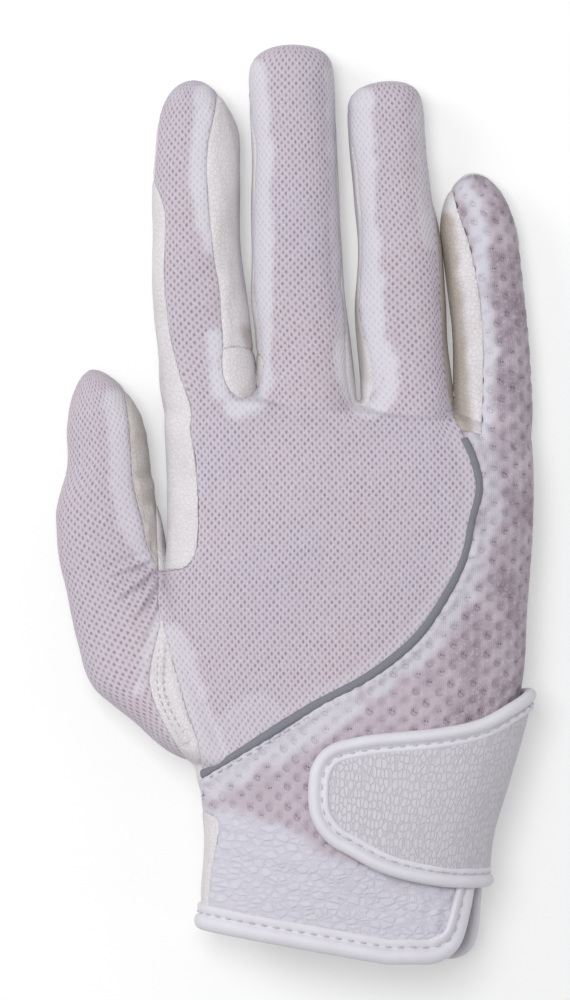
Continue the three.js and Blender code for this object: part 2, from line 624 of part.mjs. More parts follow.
take("fourchette_ring_little", [
  [fourchette(ring, little), FINGER_SEAM_LOW, FINGER_SEAM_HIGH],
  [littleInner, FINGER_SEAM_LOW, SKY],
]);
take("back_panel", [[backOutline, FINGER_SEAM_HIGH, SKY]]);
const beside = (grow) => {
  const y = (up) => (up - ORIGIN_UP) * HAND_LENGTH;
  const profile = [
    ...sideLevel.map((row) => new THREE.Vector2(y(row.up), row.z - grow)),
    new THREE.Vector2(y(1.6), SKY),
    new THREE.Vector2(y(-0.1), SKY),
  ];
  const depth = 2 * far * PALM_BREADTH;
  const extruded = new THREE.ExtrudeGeometry(new THREE.Shape(profile), { depth, bevelEnabled: false });
  const level = solid(extruded, (p) => new THREE.Vector3(p.z - depth / 2, p.x, p.y));
  return level.intersect(prism(sideOutline, floor, SKY, grow));
};
takePiece("side_panel", [beside(0)], [beside(SEAM_GAP)]);
pieces.palm_panel = rest;

// The strap is a sheet bent over the wrist, its edge trimmed back into the tape folded over it.
const strapRows = STRAP.map((row, i) => ({ at: i / (STRAP.length - 1), ...row }));
const strapAt = {};
for (const name of ["angle", "low", "high", "rise"]) strapAt[name] = column(strapRows, "at", name);
function strapPoint(at, share, raise) {
  const angle = strapAt.angle(at);
  const up = THREE.MathUtils.lerp(strapAt.low(at), strapAt.high(at), share);
  const slack = STRAP_LOOP * share * Math.exp(-((angle / 24) ** 2));
  return handStation(up, radians(angle), STRAP_RAISE * strapAt.rise(at) + raise + slack);
}
const strapMiddle = STRAP_THICKNESS / 2;
const strapAcross = 2;
const strapAround = 28;
const strapSheet = solid(new THREE.BoxGeometry(1, 1, 1, strapAround, strapAcross, 1), (p) => {
  return strapPoint(p.x + 0.5, p.y + 0.5, strapMiddle + p.z * STRAP_THICKNESS).point;
});
const strapSteps = 24;
const strapEdge = [];
for (let i = 0; i <= 2 * strapSteps; i++) {
  const at = 1 - Math.abs(i / strapSteps - 1);
  strapEdge.push({ at, share: i < strapSteps ? 0 : i > strapSteps ? 1 : 0.5 });
}
const strapLine = strapEdge.map(({ at, share }) => strapPoint(at, share, strapMiddle));
const strapBinding = sweep(strapLine, STRAP_EDGE_WIDTH, STRAP_EDGE_THICKNESS, bindingSides, BAR_SQUARE);
const strapTrim = sweep(strapLine, STRAP_EDGE_WIDTH + 2 * SEAM_GAP, cutDeep, bindingSides, 8);
pieces.piping = piping;
pieces.cuff_binding = cuffBinding;
pieces.strap = strapSheet.subtract(strapTrim);
pieces.strap_binding = strapBinding;

const slots = {
  mesh_fabric: ["back_panel", "thumb_back"],
  spacer_mesh: ["side_panel"],
  white_leather: [
    "index_wrap", "fourchette_index_middle", "fourchette_middle_ring", "fourchette_ring_little",
    "gusset_index_middle", "thumb_palm", "palm_panel",
  ],
  grey_piping: ["piping"],
  binding_tape: ["cuff_binding", "strap_binding"],
  strap_leather: ["strap"],
};
const colours = {
  mesh_fabric: 0xc9bfc9, spacer_mesh: 0xbfa9ad, white_leather: 0xece8e4,
  grey_piping: 0x55555c, binding_tape: 0xf2f0ee, strap_leather: 0xe9e6e4,
};

const group = new THREE.Group();
for (const [slot, names] of Object.entries(slots)) {
  const material = new THREE.MeshStandardMaterial({ name: slot, color: colours[slot], roughness: 0.7 });
  for (const name of names) {
    const bodies = pieces[name].decompose().sort((a, b) => b.volume() - a.volume());
    const mesh = bodies[0].simplify(CLEAN).getMesh();
    const geometry = new THREE.BufferGeometry()
      .setAttribute("position", new THREE.BufferAttribute(mesh.vertProperties, 3))
      .setIndex(new THREE.BufferAttribute(mesh.triVerts, 1));
    const piece = new THREE.Mesh(geometry, material);
    piece.name = name;
    group.add(piece);
  }
}

// The part's own origin: under the middle of its bounding box.
const box = new THREE.Box3().setFromObject(group);
const centre = box.getCenter(new THREE.Vector3());
group.position.set(-centre.x, -centre.y, -box.min.z);
export default group;
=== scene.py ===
# %% [markdown]
# # A riding glove, laid palm down
# The object is one right-hand riding glove: fine mesh on the back, a dimpled spacer mesh on
# the outer side, white leather between the fingers and on the palm, and a strap round the
# wrist. It lies on a pale floor and is seen from straight above.
#
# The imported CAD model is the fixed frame. It says where each piece is and how big it is.
# Every piece below is made in the same place and then stands for its CAD node.

# %% Load the frame
import json
import math

import bpy
import numpy as np
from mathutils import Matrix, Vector

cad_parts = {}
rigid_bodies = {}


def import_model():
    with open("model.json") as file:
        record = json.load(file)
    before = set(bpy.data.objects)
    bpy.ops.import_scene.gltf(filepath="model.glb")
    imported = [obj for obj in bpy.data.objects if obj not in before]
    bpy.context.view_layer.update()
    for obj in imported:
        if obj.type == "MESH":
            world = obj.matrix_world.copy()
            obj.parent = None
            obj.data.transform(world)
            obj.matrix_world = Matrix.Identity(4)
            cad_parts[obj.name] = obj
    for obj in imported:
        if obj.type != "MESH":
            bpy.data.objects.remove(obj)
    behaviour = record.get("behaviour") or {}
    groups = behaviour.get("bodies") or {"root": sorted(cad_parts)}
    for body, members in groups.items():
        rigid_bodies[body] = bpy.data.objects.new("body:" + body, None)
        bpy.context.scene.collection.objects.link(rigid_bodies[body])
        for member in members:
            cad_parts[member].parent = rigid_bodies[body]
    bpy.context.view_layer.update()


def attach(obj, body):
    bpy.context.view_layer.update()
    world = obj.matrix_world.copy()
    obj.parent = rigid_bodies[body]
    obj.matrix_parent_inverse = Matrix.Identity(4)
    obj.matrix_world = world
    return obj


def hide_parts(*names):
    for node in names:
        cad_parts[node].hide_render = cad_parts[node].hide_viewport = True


for leftover in list(bpy.data.objects):
    bpy.data.objects.remove(leftover)
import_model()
scene = bpy.context.scene

# %% [markdown]
# ## Camera and light
# The picture is taken from straight above with a long lens, so fingers and wrist have the
# same scale. One pixel of the 570 by 1000 picture is 0.24 mm at the height of the knuckles.
# A long lens far away is used, and not an orthographic one, because the sides of the fingers
# then show the little that they show in the picture.

# %% The camera
PIXEL = 0.00024
PICTURE_ROWS = 1000
FILM = 36
CAMERA_HEIGHT = 1.6
FOCUS_HEIGHT = 0.012
PICTURE_CENTRE = (-0.0036, 0.0011)

lens = bpy.data.cameras.new("above")
lens.sensor_width = FILM
lens.lens = FILM * (CAMERA_HEIGHT - FOCUS_HEIGHT) / (PICTURE_ROWS * PIXEL)
lens.clip_end = 20
camera = bpy.data.objects.new("above", lens)
camera.location = (*PICTURE_CENTRE, CAMERA_HEIGHT)
scene.collection.objects.link(camera)
scene.camera = camera
print("lens, mm:", round(lens.lens))

# %% [markdown]
# The light is a large soft panel overhead and two weaker ones from the sides, with an even
# pale surrounding. White leather must stay a little darker than the floor, so the exposure
# is set by the lamps and the picture isn't tone mapped.

# %% Lamps, surrounding and floor
scene.view_settings.view_transform = "Standard"
scene.view_settings.look = "None"
scene.view_settings.exposure = 0
scene.view_settings.gamma = 1
GLOVE_MIDDLE = 0.02


def lamp(name, place, size, power):
    """A square area lamp that looks at the middle of the glove."""
    light = bpy.data.lights.new(name, "AREA")
    light.size = size
    light.energy = power
    holder = bpy.data.objects.new(name, light)
    holder.location = place
    ahead = Vector((0, 0, GLOVE_MIDDLE)) - Vector(place)
    holder.rotation_euler = ahead.to_track_quat("-Z", "Y").to_euler()
    scene.collection.objects.link(holder)


lamp("panel_overhead", (-0.25, 0.25, 1.5), 0.7, 14)
lamp("panel_left", (-1.1, 0.6, 0.8), 0.6, 6)
lamp("panel_right", (1.2, -0.2, 0.8), 0.8, 1.5)

surrounding = bpy.data.worlds.new("surrounding")
surrounding.use_nodes = True
sky = surrounding.node_tree.nodes["Background"].inputs
sky["Color"].default_value = (1, 1, 1, 1)
sky["Strength"].default_value = 0.45
scene.world = surrounding

# %% [markdown]
# ## Nodes written as sums
# Each finish below is a pattern worked out from a place on the cloth. Wrapping a socket in a
# small class lets such a pattern be written as an ordinary sum, and each operator then adds
# the Math node that it stands for. Every node is made by one method of the finish.

# %% Numbers that become Math nodes
class Number:
    """A socket that carries a number, for use in ordinary arithmetic."""

    def __init__(self, finish, socket):
        self.finish = finish
        self.socket = socket

    def math(self, operation, *values):
        made = self.finish.node("Math", {"operation": operation}, dict(enumerate(values)))
        return made["Value"]

    def __add__(self, other):
        return self.math("ADD", self, other)

    def __radd__(self, other):
        return self.math("ADD", other, self)

    def __sub__(self, other):
        return self.math("SUBTRACT", self, other)

    def __rsub__(self, other):
        return self.math("SUBTRACT", other, self)

    def __mul__(self, other):
        return self.math("MULTIPLY", self, other)

    def __truediv__(self, other):
        return self.math("DIVIDE", self, other)

    def floor(self):
        return self.math("FLOOR", self)

    def cos(self):
        return self.math("COSINE", self)

    def root(self):
        return self.math("SQRT", self)

    def odd(self):
        """0 where a whole number is even, and 1 where it is odd."""
        return self.math("FLOORED_MODULO", self, 2)

    def size(self):
        return self.math("ABSOLUTE", self)

    def rises(self, low, high):
        """A soft step from 0 at low to 1 at high."""
        made = self.finish.node(
            "MapRange",
            {"interpolation_type": "SMOOTHSTEP"},
            {"Value": self, "From Min": low, "From Max": high},
        )
        return made["Result"]


# %% Finishes
class Finish:
    """A material whose nodes are added one by one."""

    def __init__(self, name):
        self.material = bpy.data.materials.new(name)
        self.material.use_nodes = True
        self.tree = self.material.node_tree
        self.tree.nodes.clear()

    def node(self, kind, settings, sockets):
        """The outputs of a new node, whose inputs are linked or set by name or by number."""
        made = self.tree.nodes.new("ShaderNode" + kind)
        for key, value in settings.items():
            setattr(made, key, value)
        for key, value in sockets.items():
            if isinstance(key, int):
                socket = made.inputs[key]
            else:
                socket = next(s for s in made.inputs if s.name == key and not s.is_unavailable)
            if isinstance(value, Number):
                self.tree.links.new(value.socket, socket)
            else:
                socket.default_value = value
        return {s.name: Number(self, s) for s in made.outputs if not s.is_unavailable}

    def mixed(self, share, low, high):
        """One colour turning into another."""
        sockets = {"Factor": share, "A": low, "B": high}
        return self.node("Mix", {"data_type": "RGBA"}, sockets)["Result"]

    def on_piece(self, name):
        """A number that the piece's mesh holds at every point."""
        return self.node("Attribute", {"attribute_name": name}, {})["Fac"]

    def cloth(self):
        """The place along and across the cloth, in millimetres."""
        at = self.node("UVMap", {"uv_map": "cloth"}, {})["UV"]
        parts = self.node("SeparateXYZ", {}, {"Vector": at})
        return parts["X"], parts["Y"], at

    def place(self):
        """The place in space, in metres."""
        return self.node("TexCoord", {}, {})["Object"]

    def noise(self, at, scale, detail=3, roughness=0.5):
        """Soft random patches, about one over scale across."""
        sockets = {"Vector": at, "Scale": scale, "Detail": detail, "Roughness": roughness}
        return self.node("TexNoise", {}, sockets)["Fac"]

    def cracks(self, at, scale, randomness=1.0):
        """The distance to the nearest edge of a pattern of irregular cells."""
        sockets = {"Vector": at, "Scale": scale, "Randomness": randomness}
        return self.node("TexVoronoi", {"feature": "DISTANCE_TO_EDGE"}, sockets)["Distance"]

    def slanted(self, at):
        """Places on the cloth turned and drawn out, for cells that are long and aslant."""
        sockets = {"Vector": at, "Rotation": (0, 0, 0.55), "Scale": (0.55, 1.25, 1)}
        return self.node("Mapping", {"vector_type": "POINT"}, sockets)["Vector"]

    def lattice(self, u, v, wide, tall):
        """
        The place in a cell of a staggered lattice, as shares of the cell from its middle, and
        a number from 0 to 1 that differs from cell to cell.
        """
        column = u / wide
        whole = (column + 0.5).floor()
        row = v / tall + whole.odd() * 0.5
        cell = (row + 0.5).floor()
        corner = self.node("CombineXYZ", {}, {"X": whole, "Y": cell})["Vector"]
        luck = self.node("TexWhiteNoise", {}, {"Vector": corner})["Value"]
        return column - whole, row - cell, luck

    def surfaced(self, sockets):
        """The material, with the sockets of its surface set."""
        surface = self.node("BsdfPrincipled", {}, sockets)["BSDF"]
        self.node("OutputMaterial", {}, {"Surface": surface})
        return self.material

    def finished(self, colour, roughness, height, depth, strength, more=None):
        """The material, with a relief of some depth in metres."""
        bump = {"Height": height, "Distance": depth, "Strength": strength}
        normal = self.node("Bump", {}, bump)["Normal"]
        sockets = {"Base Color": colour, "Roughness": roughness, "Normal": normal}
        return self.surfaced(sockets | (more or {}))


def tone(red, green, blue):
    """A colour as seen on a screen, from 0 to 255, as the numbers a shader takes."""
    def straight(c):
        c = c / 255
        return c / 12.92 if c <= 0.04045 else ((c + 0.055) / 1.055) ** 2.4
    return (straight(red), straight(green), straight(blue), 1)


# %% [markdown]
# ## The sizes of the glove
# These are the sizes of the CAD source, in millimetres, and its tables: each digit and the
# hand is a row of sections, and each seam is a row of points. The outline of the glove can
# only agree with the frame where both start from the same numbers. The fingertips, the outer
# side of the wrist and a few seams are then brought nearer to the picture by a millimetre or
# two.

# %% Sizes
HAND_LENGTH = 135
PALM_BREADTH = 87.4
PALM_DEPTH = 30
PRESS = 1.4
STRAP_RAISE = 2
STRAP_THICKNESS = 1.6
STRAP_EDGE_THICKNESS = 2.8
STRAP_LOOP = 0.4
FINGER_SEAM_LOW = 4.2
FINGER_SEAM_HIGH = 10
SIDE_SEAM = 6.4
WRIST_SEAM = 16
THUMB_SEAM = 5
GUSSET_LOW = 2
WEB_DOME = 3.5
ORIGIN_UP = 0.68
HAND_END = 0.55
HAND_SQUARE = 2.5
DIGIT_SQUARE = 2.3
HEM_UP = 0.024
SHIFT = np.array([11.275, -17.543, 0])
STRAP_ROOM = STRAP_RAISE + (STRAP_THICKNESS + STRAP_EDGE_THICKNESS) / 2 + 0.1


def table(names, rows):
    """Named columns from rows of numbers."""
    return {name: np.array(values, float) for name, values in zip(names.split(), zip(*rows))}


# %% [markdown]
# In a digit's sections, along is the share of its length, side the shift of the centre and
# breadth the width as shares of its breadth, height the share of its depth, and rise how far
# the section stands off the table. The root is given across in half palm breadths and up in
# hand lengths, the lean towards the thumb in degrees, and the tip's length in millimetres. A
# tip is an ellipse at blunt 2 and squarer above it.

# %% Sections of the digits
SECTION = "along side breadth height rise"
DIGITS = {
    "index": {
        "length": 76.4, "breadth": 20.4, "depth": 18.5, "tip": 16, "blunt": 2.2,
        "root": (-0.742, 0.994), "lean": 2.9,
        "sections": table(SECTION, [
            (-0.18, 0.16, 1.0, 1.16, 0.15), (0, 0, 1.16, 1.1, 0), (0.16, -0.04, 1.11, 1.02, 0),
            (0.33, -0.07, 1.09, 1, 0), (0.5, -0.085, 1.0, 1, 0), (0.7, -0.055, 1.01, 0.97, 0),
            (0.84, -0.01, 0.97, 0.92, 0), (1, -0.04, 0.9, 0.84, 0),
        ]),
    },
    "middle": {
        "length": 83.8, "breadth": 21.1, "depth": 19, "tip": 7, "blunt": 3.0,
        "root": (-0.225, 0.999), "lean": 1.7,
        "sections": table(SECTION, [
            (-0.18, 0.03, 1.1, 1.14, 0.15), (0, 0, 1.14, 1.1, 0), (0.14, -0.01, 1.07, 1.03, 0),
            (0.3, -0.06, 1.06, 1, 0), (0.47, -0.05, 1.01, 1, 0), (0.7, -0.045, 0.95, 0.95, 0),
            (0.88, -0.06, 0.98, 0.9, 0), (1, -0.04, 0.95, 0.84, 0),
        ]),
    },
    "ring": {
        "length": 79, "breadth": 19.2, "depth": 18, "tip": 7, "blunt": 2.8,
        "root": (0.335, 0.972), "lean": 3.8,
        "sections": table(SECTION, [
            (-0.18, 0.03, 1.1, 1.18, 0.15), (0, 0, 1.16, 1.12, 0), (0.14, 0, 1.12, 1.04, 0),
            (0.34, 0, 1.13, 1, 0), (0.5, 0.03, 1.04, 1, 0), (0.7, -0.01, 0.95, 0.95, 0),
            (0.88, -0.03, 0.94, 0.9, 0), (1, -0.03, 0.93, 0.84, 0),
        ]),
    },
    "little": {
        "length": 61.9, "breadth": 19.2, "depth": 16.5, "tip": 16, "blunt": 2.2,
        "root": (0.802, 0.937), "lean": 3.2,
        "sections": table(SECTION, [
            (-0.22, -0.12, 0.8, 1.2, 0.15), (0, 0, 0.98, 1.12, 0), (0.25, 0.04, 0.96, 1.04, 0),
            (0.5, 0.03, 0.95, 1, 0), (0.7, 0, 0.95, 0.96, 0), (0.84, -0.04, 0.94, 0.9, 0),
            (1, -0.06, 0.86, 0.84, 0),
        ]),
    },
    "thumb": {
        "length": 91.9, "breadth": 24, "depth": 19, "tip": 15, "blunt": 1.75,
        "root": (-0.863, 0.386), "lean": 13.75,
        "sections": table(SECTION, [
            (-0.06, 0.3, 0.5, 1.2, 0.3), (0, 0.12, 0.72, 1.28, 0.24), (0.1, -0.02, 0.98, 1.3, 0.16),
            (0.2, -0.14, 1.3, 1.26, 0.06), (0.32, -0.205, 1.29, 1.14, 0), (0.46, -0.296, 1.07, 1.02, 0),
            (0.58, -0.28, 1.07, 0.98, 0), (0.67, -0.245, 1.0, 0.96, 0), (0.79, -0.11, 0.82, 0.94, 0),
            (0.9, -0.07, 0.76, 0.9, 0), (1, -0.07, 0.7, 0.84, 0),
        ]),
    },
    "web": {
        "length": 43.5, "breadth": 17, "depth": 22, "tip": 14, "blunt": 2.2,
        "root": (-0.8, 0.36), "lean": 10.8,
        "sections": table(SECTION, [
            (-0.1, 0.4, 0.5, 0.8, 0.3), (0.06, 0.22, 0.66, 0.95, 0.22), (0.22, 0.08, 0.9, 1.1, 0.12),
            (0.5, 0, 1.05, 1.1, 0.02), (0.8, 0.02, 1, 1, 0), (1, 0.05, 0.8, 0.8, 0.05),
        ]),
    },
}

# %% [markdown]
# The hand is one tube from the hem to the webs. Each section runs from its left to its right
# end, in half palm breadths, and the two ends have their own heights, so that the hem and the
# row of webs can slope. Lift is the share of the room for the strap that lies under it.

# %% Sections of the hand
HAND = table("up_left up_right left right top lift", [
    (0.082, -0.004, -0.81, 0.72, 1.02, 1), (0.13, 0.06, -0.8, 0.73, 1.04, 1),
    (0.19, 0.15, -0.785, 0.735, 1.05, 1), (0.25, 0.23, -0.78, 0.755, 1.05, 1),
    (0.33, 0.32, -0.82, 0.83, 1.03, 1), (0.42, 0.42, -0.9, 0.91, 1.0, 1),
    (0.52, 0.52, -0.97, 0.97, 0.98, 0.45), (0.62, 0.62, -1.0, 0.99, 0.97, 0),
    (0.74, 0.73, -0.99, 1.01, 0.95, 0), (0.86, 0.83, -0.985, 1.022, 0.89, 0),
    (0.95, 0.89, -1.0, 1.022, 0.8, 0), (1.0, 0.94, -0.99, 1.012, 0.68, 0),
])
HAND_SHARE = np.linspace(0, 1, len(HAND["top"]))

# %% [markdown]
# ## Curves and tubes
# A table has few rows, and cloth has no corners at them. Each column is therefore read
# through a cubic whose slope at a row is the mean of the two chords that meet there.

# %% Reading a table smoothly
def smooth(at, places, values):
    """Values given at some places, read anywhere between them through the cubic."""
    chords = np.diff(values) / np.diff(places)
    slope = np.concatenate([chords[:1], (chords[:-1] + chords[1:]) / 2, chords[-1:]])
    at = np.clip(at, places[0], places[-1])
    i = np.clip(np.searchsorted(places, at, side="right") - 1, 0, len(places) - 2)
    step = places[i + 1] - places[i]
    t = (at - places[i]) / step
    rest = 1 - t
    near = (1 + 2 * t) * rest**2 * values[i] + t * rest**2 * step * slope[i]
    return near + t**2 * (3 - 2 * t) * values[i + 1] - t**2 * rest * step * slope[i + 1]


def run_along(line):
    """How far along a line each of its points is."""
    return np.concatenate([[0], np.cumsum(np.linalg.norm(np.diff(line, axis=0), axis=1))])


def read_at(at, run, rows):
    """Rows that belong to a line, read at other distances along it."""
    return np.stack([np.interp(at, run, column) for column in rows.T], 1)


def curve(points, spacing):
    """A smooth line through points, as points an even distance apart."""
    points = np.array(points, float)
    length = run_along(points)
    fine = np.linspace(0, length[-1], 40 * len(points))
    line = np.stack([smooth(fine, length, column) for column in points.T], 1)
    run = run_along(line)
    even = np.linspace(0, run[-1], max(2, int(round(run[-1] / spacing)) + 1))
    return read_at(even, run, line)


def oval(value, square):
    """Cosine or sine raised so that a circle becomes a squarer oval."""
    return np.sign(value) * np.abs(value) ** (2 / square)


def up_hand(points):
    """How far up the hand points are, in hand lengths."""
    return points[:, 1] / HAND_LENGTH + ORIGIN_UP


def angle_of(across, up, square):
    """The angle round a squarish oval of a place in it, the reverse of oval."""
    return np.arctan2(oval(up, 4 / square), oval(across, 4 / square))


def on_hand(points):
    """Points given across and up on the hand, in millimetres in plan."""
    points = np.array(points, float)
    return points * [PALM_BREADTH / 2, HAND_LENGTH] - [0, ORIGIN_UP * HAND_LENGTH]


# %% [markdown]
# A digit is placed by its root and its lean. The same few functions answer both questions
# that come up later: where is a point of the digit, and where on the digit is this point.

# %% Places on a digit
for digit in DIGITS.values():
    lean = math.radians(digit["lean"])
    digit["root"] = on_hand(digit["root"])
    digit["axis"] = np.array([-math.sin(lean), math.cos(lean)])
    digit["right"] = np.array([digit["axis"][1], -digit["axis"][0]])


def seen(points):
    """Places in plan of pixels of the picture, in millimetres."""
    return (np.array(points, float) - [347, 960]) * [0.24, -0.24] - [0, ORIGIN_UP * HAND_LENGTH]


def read(digit, name, along):
    """A column of a digit's sections, read along it."""
    return smooth(along, digit["sections"]["along"], digit["sections"][name])


def section_at(digit, along):
    """The centre's shift, half the breadth, half the height and the level of a section."""
    side = digit["breadth"] * read(digit, "side", along)
    half = digit["breadth"] * read(digit, "breadth", along) / 2
    tall = digit["depth"] * read(digit, "height", along) / 2
    return side, half, tall, digit["depth"] * read(digit, "rise", along) + tall - PRESS


def on_digit(name, points):
    """Points given along and across a digit, in millimetres in plan."""
    digit = DIGITS[name]
    along, across = np.array(points, float).T
    side = digit["breadth"] * (read(digit, "side", along) + across * read(digit, "breadth", along) / 2)
    return digit["root"] + np.outer(along * digit["length"], digit["axis"]) + np.outer(side, digit["right"])


def where_on_digit(name, points):
    """Along, across in half breadths, and the angle round the section, of points in space."""
    digit = DIGITS[name]
    away = points[:, :2] - digit["root"]
    along = away @ digit["axis"] / digit["length"]
    side, half, tall, level = section_at(digit, along)
    across = (away @ digit["right"] - side) / half
    return along, across, angle_of(across, (points[:, 2] - level) / tall, DIGIT_SQUARE)


# %% Rings of a digit
SLIM = 0.5
TIP_MORE = 0.9
DIGIT_SIDES = 72
SHAFT_RINGS = 86
TIP_RINGS = 24


def digit_rings(name):
    """Rings of a digit, slimmer by a little, because a remesh would close the narrow gaps."""
    digit = DIGITS[name]
    tip_start = 1 - digit["tip"] / digit["length"]
    straight = np.linspace(digit["sections"]["along"][0], tip_start, SHAFT_RINGS)
    turn = np.linspace(0, math.pi / 2, TIP_RINGS + 1)[1:]
    reach = 1 - tip_start - (SLIM - TIP_MORE) / digit["length"]
    blunt = 2 / digit["blunt"]
    along = np.concatenate([straight, tip_start + reach * np.sin(turn) ** blunt])
    around = np.concatenate([np.ones(len(straight)), np.maximum(0.02, np.cos(turn)) ** blunt])
    angle = np.linspace(0, 2 * math.pi, DIGIT_SIDES, endpoint=False)
    centre = on_digit(name, np.stack([along, 0 * along], 1))
    _, half, tall, level = section_at(digit, along)
    half = np.maximum(half * around - SLIM, 0.1)
    tall = np.maximum(tall * around - SLIM, 0.1)
    out = half[:, None] * oval(np.cos(angle), DIGIT_SQUARE)
    z = level[:, None] + tall[:, None] * oval(np.sin(angle), DIGIT_SQUARE)
    plan = centre[:, None, :] + out[..., None] * digit["right"]
    return np.concatenate([plan, np.maximum(z, SLIM)[..., None]], 2)


# %% Places on the hand
def hand_ends(share):
    """Every column of the hand's table, read at a share of its rows."""
    return {name: smooth(share, HAND_SHARE, HAND[name]) for name in HAND}


def hand_reach(at, raised=0):
    """The left and right ends, the floor, the bottom and the top of a section of the hand."""
    left = at["left"] * PALM_BREADTH / 2 - raised
    right = at["right"] * PALM_BREADTH / 2 + raised
    floor = at["lift"] * STRAP_ROOM - raised
    return left, right, floor, floor - PRESS * (1 - at["lift"]), at["top"] * PALM_DEPTH + raised


def hand_point(share, angle, raised=0, flat=1):
    """A point of the hand's skin, raised off it by some millimetres."""
    at = hand_ends(share)
    left, right, floor, bottom, top = hand_reach(at, raised)
    across = oval(np.cos(angle), HAND_SQUARE)
    x = (left + right) / 2 + (right - left) / 2 * across
    up = at["up_left"] + (at["up_right"] - at["up_left"]) * (1 + across) / 2
    half = (top - bottom) / 2 * flat
    z = np.maximum(bottom + half + half * oval(np.sin(angle), HAND_SQUARE), floor)
    return np.stack(np.broadcast_arrays(x, (up - ORIGIN_UP) * HAND_LENGTH, z), -1)


def last_true(test, shape, high, halvings=24):
    """Where a test of numbers from 0 to high stops being true, found by halving."""
    low = np.zeros(shape)
    high = np.full(shape, float(high))
    for _ in range(halvings):
        middle = (low + high) / 2
        true = test(middle)
        low = np.where(true, middle, low)
        high = np.where(true, high, middle)
    return low


def hand_share(up, angle):
    """The share of the hand's sections that lies up hand lengths above the hem."""
    up, angle = np.broadcast_arrays(np.array(up, float), np.array(angle, float))
    y = (up - ORIGIN_UP) * HAND_LENGTH
    return last_true(lambda share: hand_point(share, angle)[..., 1] < y, up.shape, 1)


def hand_station(up, angle, raised):
    """A point over the hand's skin at a height up the hand, and the skin's outward direction."""
    share = hand_share(up, angle)
    point = hand_point(share, angle, raised)
    outward = hand_point(share, angle, raised + 1) - point
    return point, outward / np.linalg.norm(outward, axis=-1, keepdims=True)


def where_on_hand(points):
    """The share of the sections, and the angle round the section, of points in space."""
    x, _, z = points.T
    up = up_hand(points)
    share = np.full(len(points), 0.5)
    for _ in range(30):
        at = hand_ends(share)
        mix = np.clip((x / (PALM_BREADTH / 2) - at["left"]) / (at["right"] - at["left"]), 0, 1)
        now = at["up_left"] + (at["up_right"] - at["up_left"]) * mix
        share = np.clip(share + 0.7 * (up - now), 0, 1)
    left, right, _, bottom, top = hand_reach(hand_ends(share))
    across = (2 * x - left - right) / (right - left)
    tall = (2 * z - top - bottom) / (top - bottom)
    return share, angle_of(across, tall, HAND_SQUARE)


HAND_RINGS = 150
HAND_SIDES = 200
BEYOND_HEM = 9


def hand_rings():
    """Rings of the hand, carried on past the hem so that the mouth can be cut open there."""
    share = np.linspace(0, 1, HAND_RINGS)
    angle = np.linspace(0, 2 * math.pi, HAND_SIDES, endpoint=False)
    rings = hand_point(share[:, None], angle[None, :], -SLIM)
    past = rings[:1] - [0, BEYOND_HEM, 0]
    dome = hand_point(np.ones((1, 1)), angle[None, :], -SLIM, HAND_END) + [0, WEB_DOME - SLIM, 0]
    return np.concatenate([past, rings, dome])


# %% [markdown]
# ## One skin
# Seven tubes are pushed into each other and turned into one closed skin by a voxel remesh,
# which also leaves no inner walls. A sewn glove has soft turns between the fingers, so the
# skin is then relaxed. Relaxing shrinks, and every second step therefore pushes back.

# %% Meshes from rings and faces
def new_piece(name, points, faces, *finishes):
    """A mesh object from points in the CAD source's millimetres."""
    mesh = bpy.data.meshes.new(name)
    mesh.from_pydata((np.asarray(points) + SHIFT) / 1000, [], faces)
    mesh.validate()
    mesh.update()
    piece = bpy.data.objects.new(name, mesh)
    scene.collection.objects.link(piece)
    for finish in finishes:
        mesh.materials.append(finish)
    mesh.shade_smooth()
    return piece


def ring_faces(rings, sides, first=0):
    """Quads between neighbouring rings, with a flat cap at each end."""
    faces = []
    for a in range(first, first + (rings - 1) * sides, sides):
        b = a + sides
        for s in range(sides):
            t = (s + 1) % sides
            faces.append((a + s, a + t, b + t, b + s))
    faces.append(tuple(range(first + sides - 1, first - 1, -1)))
    last = first + (rings - 1) * sides
    faces.append(tuple(range(last, last + sides)))
    return faces


def joined(ring_sets):
    """Points and faces of several closed tubes."""
    faces = []
    first = 0
    for rings in ring_sets:
        count, sides = rings.shape[:2]
        faces += ring_faces(count, sides, first)
        first += count * sides
    return np.concatenate([rings.reshape(-1, 3) for rings in ring_sets]), faces


# %% Remesh the tubes into one skin
VOXEL = 0.62
RELAXINGS = 10


def corners_of(mesh):
    """The number of the point at each corner of a mesh's faces."""
    corners = np.empty(len(mesh.loops), int)
    mesh.loops.foreach_get("vertex_index", corners)
    return corners


def remeshed(points, faces):
    """The points and quads of one closed skin round overlapping tubes."""
    rough = new_piece("rough_skin", points, faces)
    remesh = rough.modifiers.new("voxels", "REMESH")
    remesh.mode = "VOXEL"
    remesh.voxel_size = VOXEL / 1000
    remesh.adaptivity = 0
    evaluated = rough.evaluated_get(bpy.context.evaluated_depsgraph_get())
    whole = evaluated.to_mesh()
    found = np.empty(len(whole.vertices) * 3)
    whole.vertices.foreach_get("co", found)
    quads = corners_of(whole).reshape(-1, 4)
    evaluated.to_mesh_clear()
    bpy.data.objects.remove(rough)
    return found.reshape(-1, 3) * 1000 - SHIFT, quads


def edges_of(faces):
    """Each edge of the faces once."""
    pairs = np.stack([faces, np.roll(faces, -1, 1)], 2).reshape(-1, 2)
    return np.unique(np.sort(pairs, 1), axis=0)


def neighbour_mean(values, edges, count):
    """The mean of each point's neighbours."""
    a, b = edges.T
    total = np.stack([
        np.bincount(a, column[b], count) + np.bincount(b, column[a], count)
        for column in values.T
    ], 1)
    number = np.bincount(a, None, count) + np.bincount(b, None, count)
    return total / np.maximum(number, 1)[:, None]


def relaxed(points, edges, times):
    """Each point drawn to its neighbours and pushed back, a number of times."""
    for push in (0.5, -0.51) * times:
        points = points + push * (neighbour_mean(points, edges, len(points)) - points)
    return points


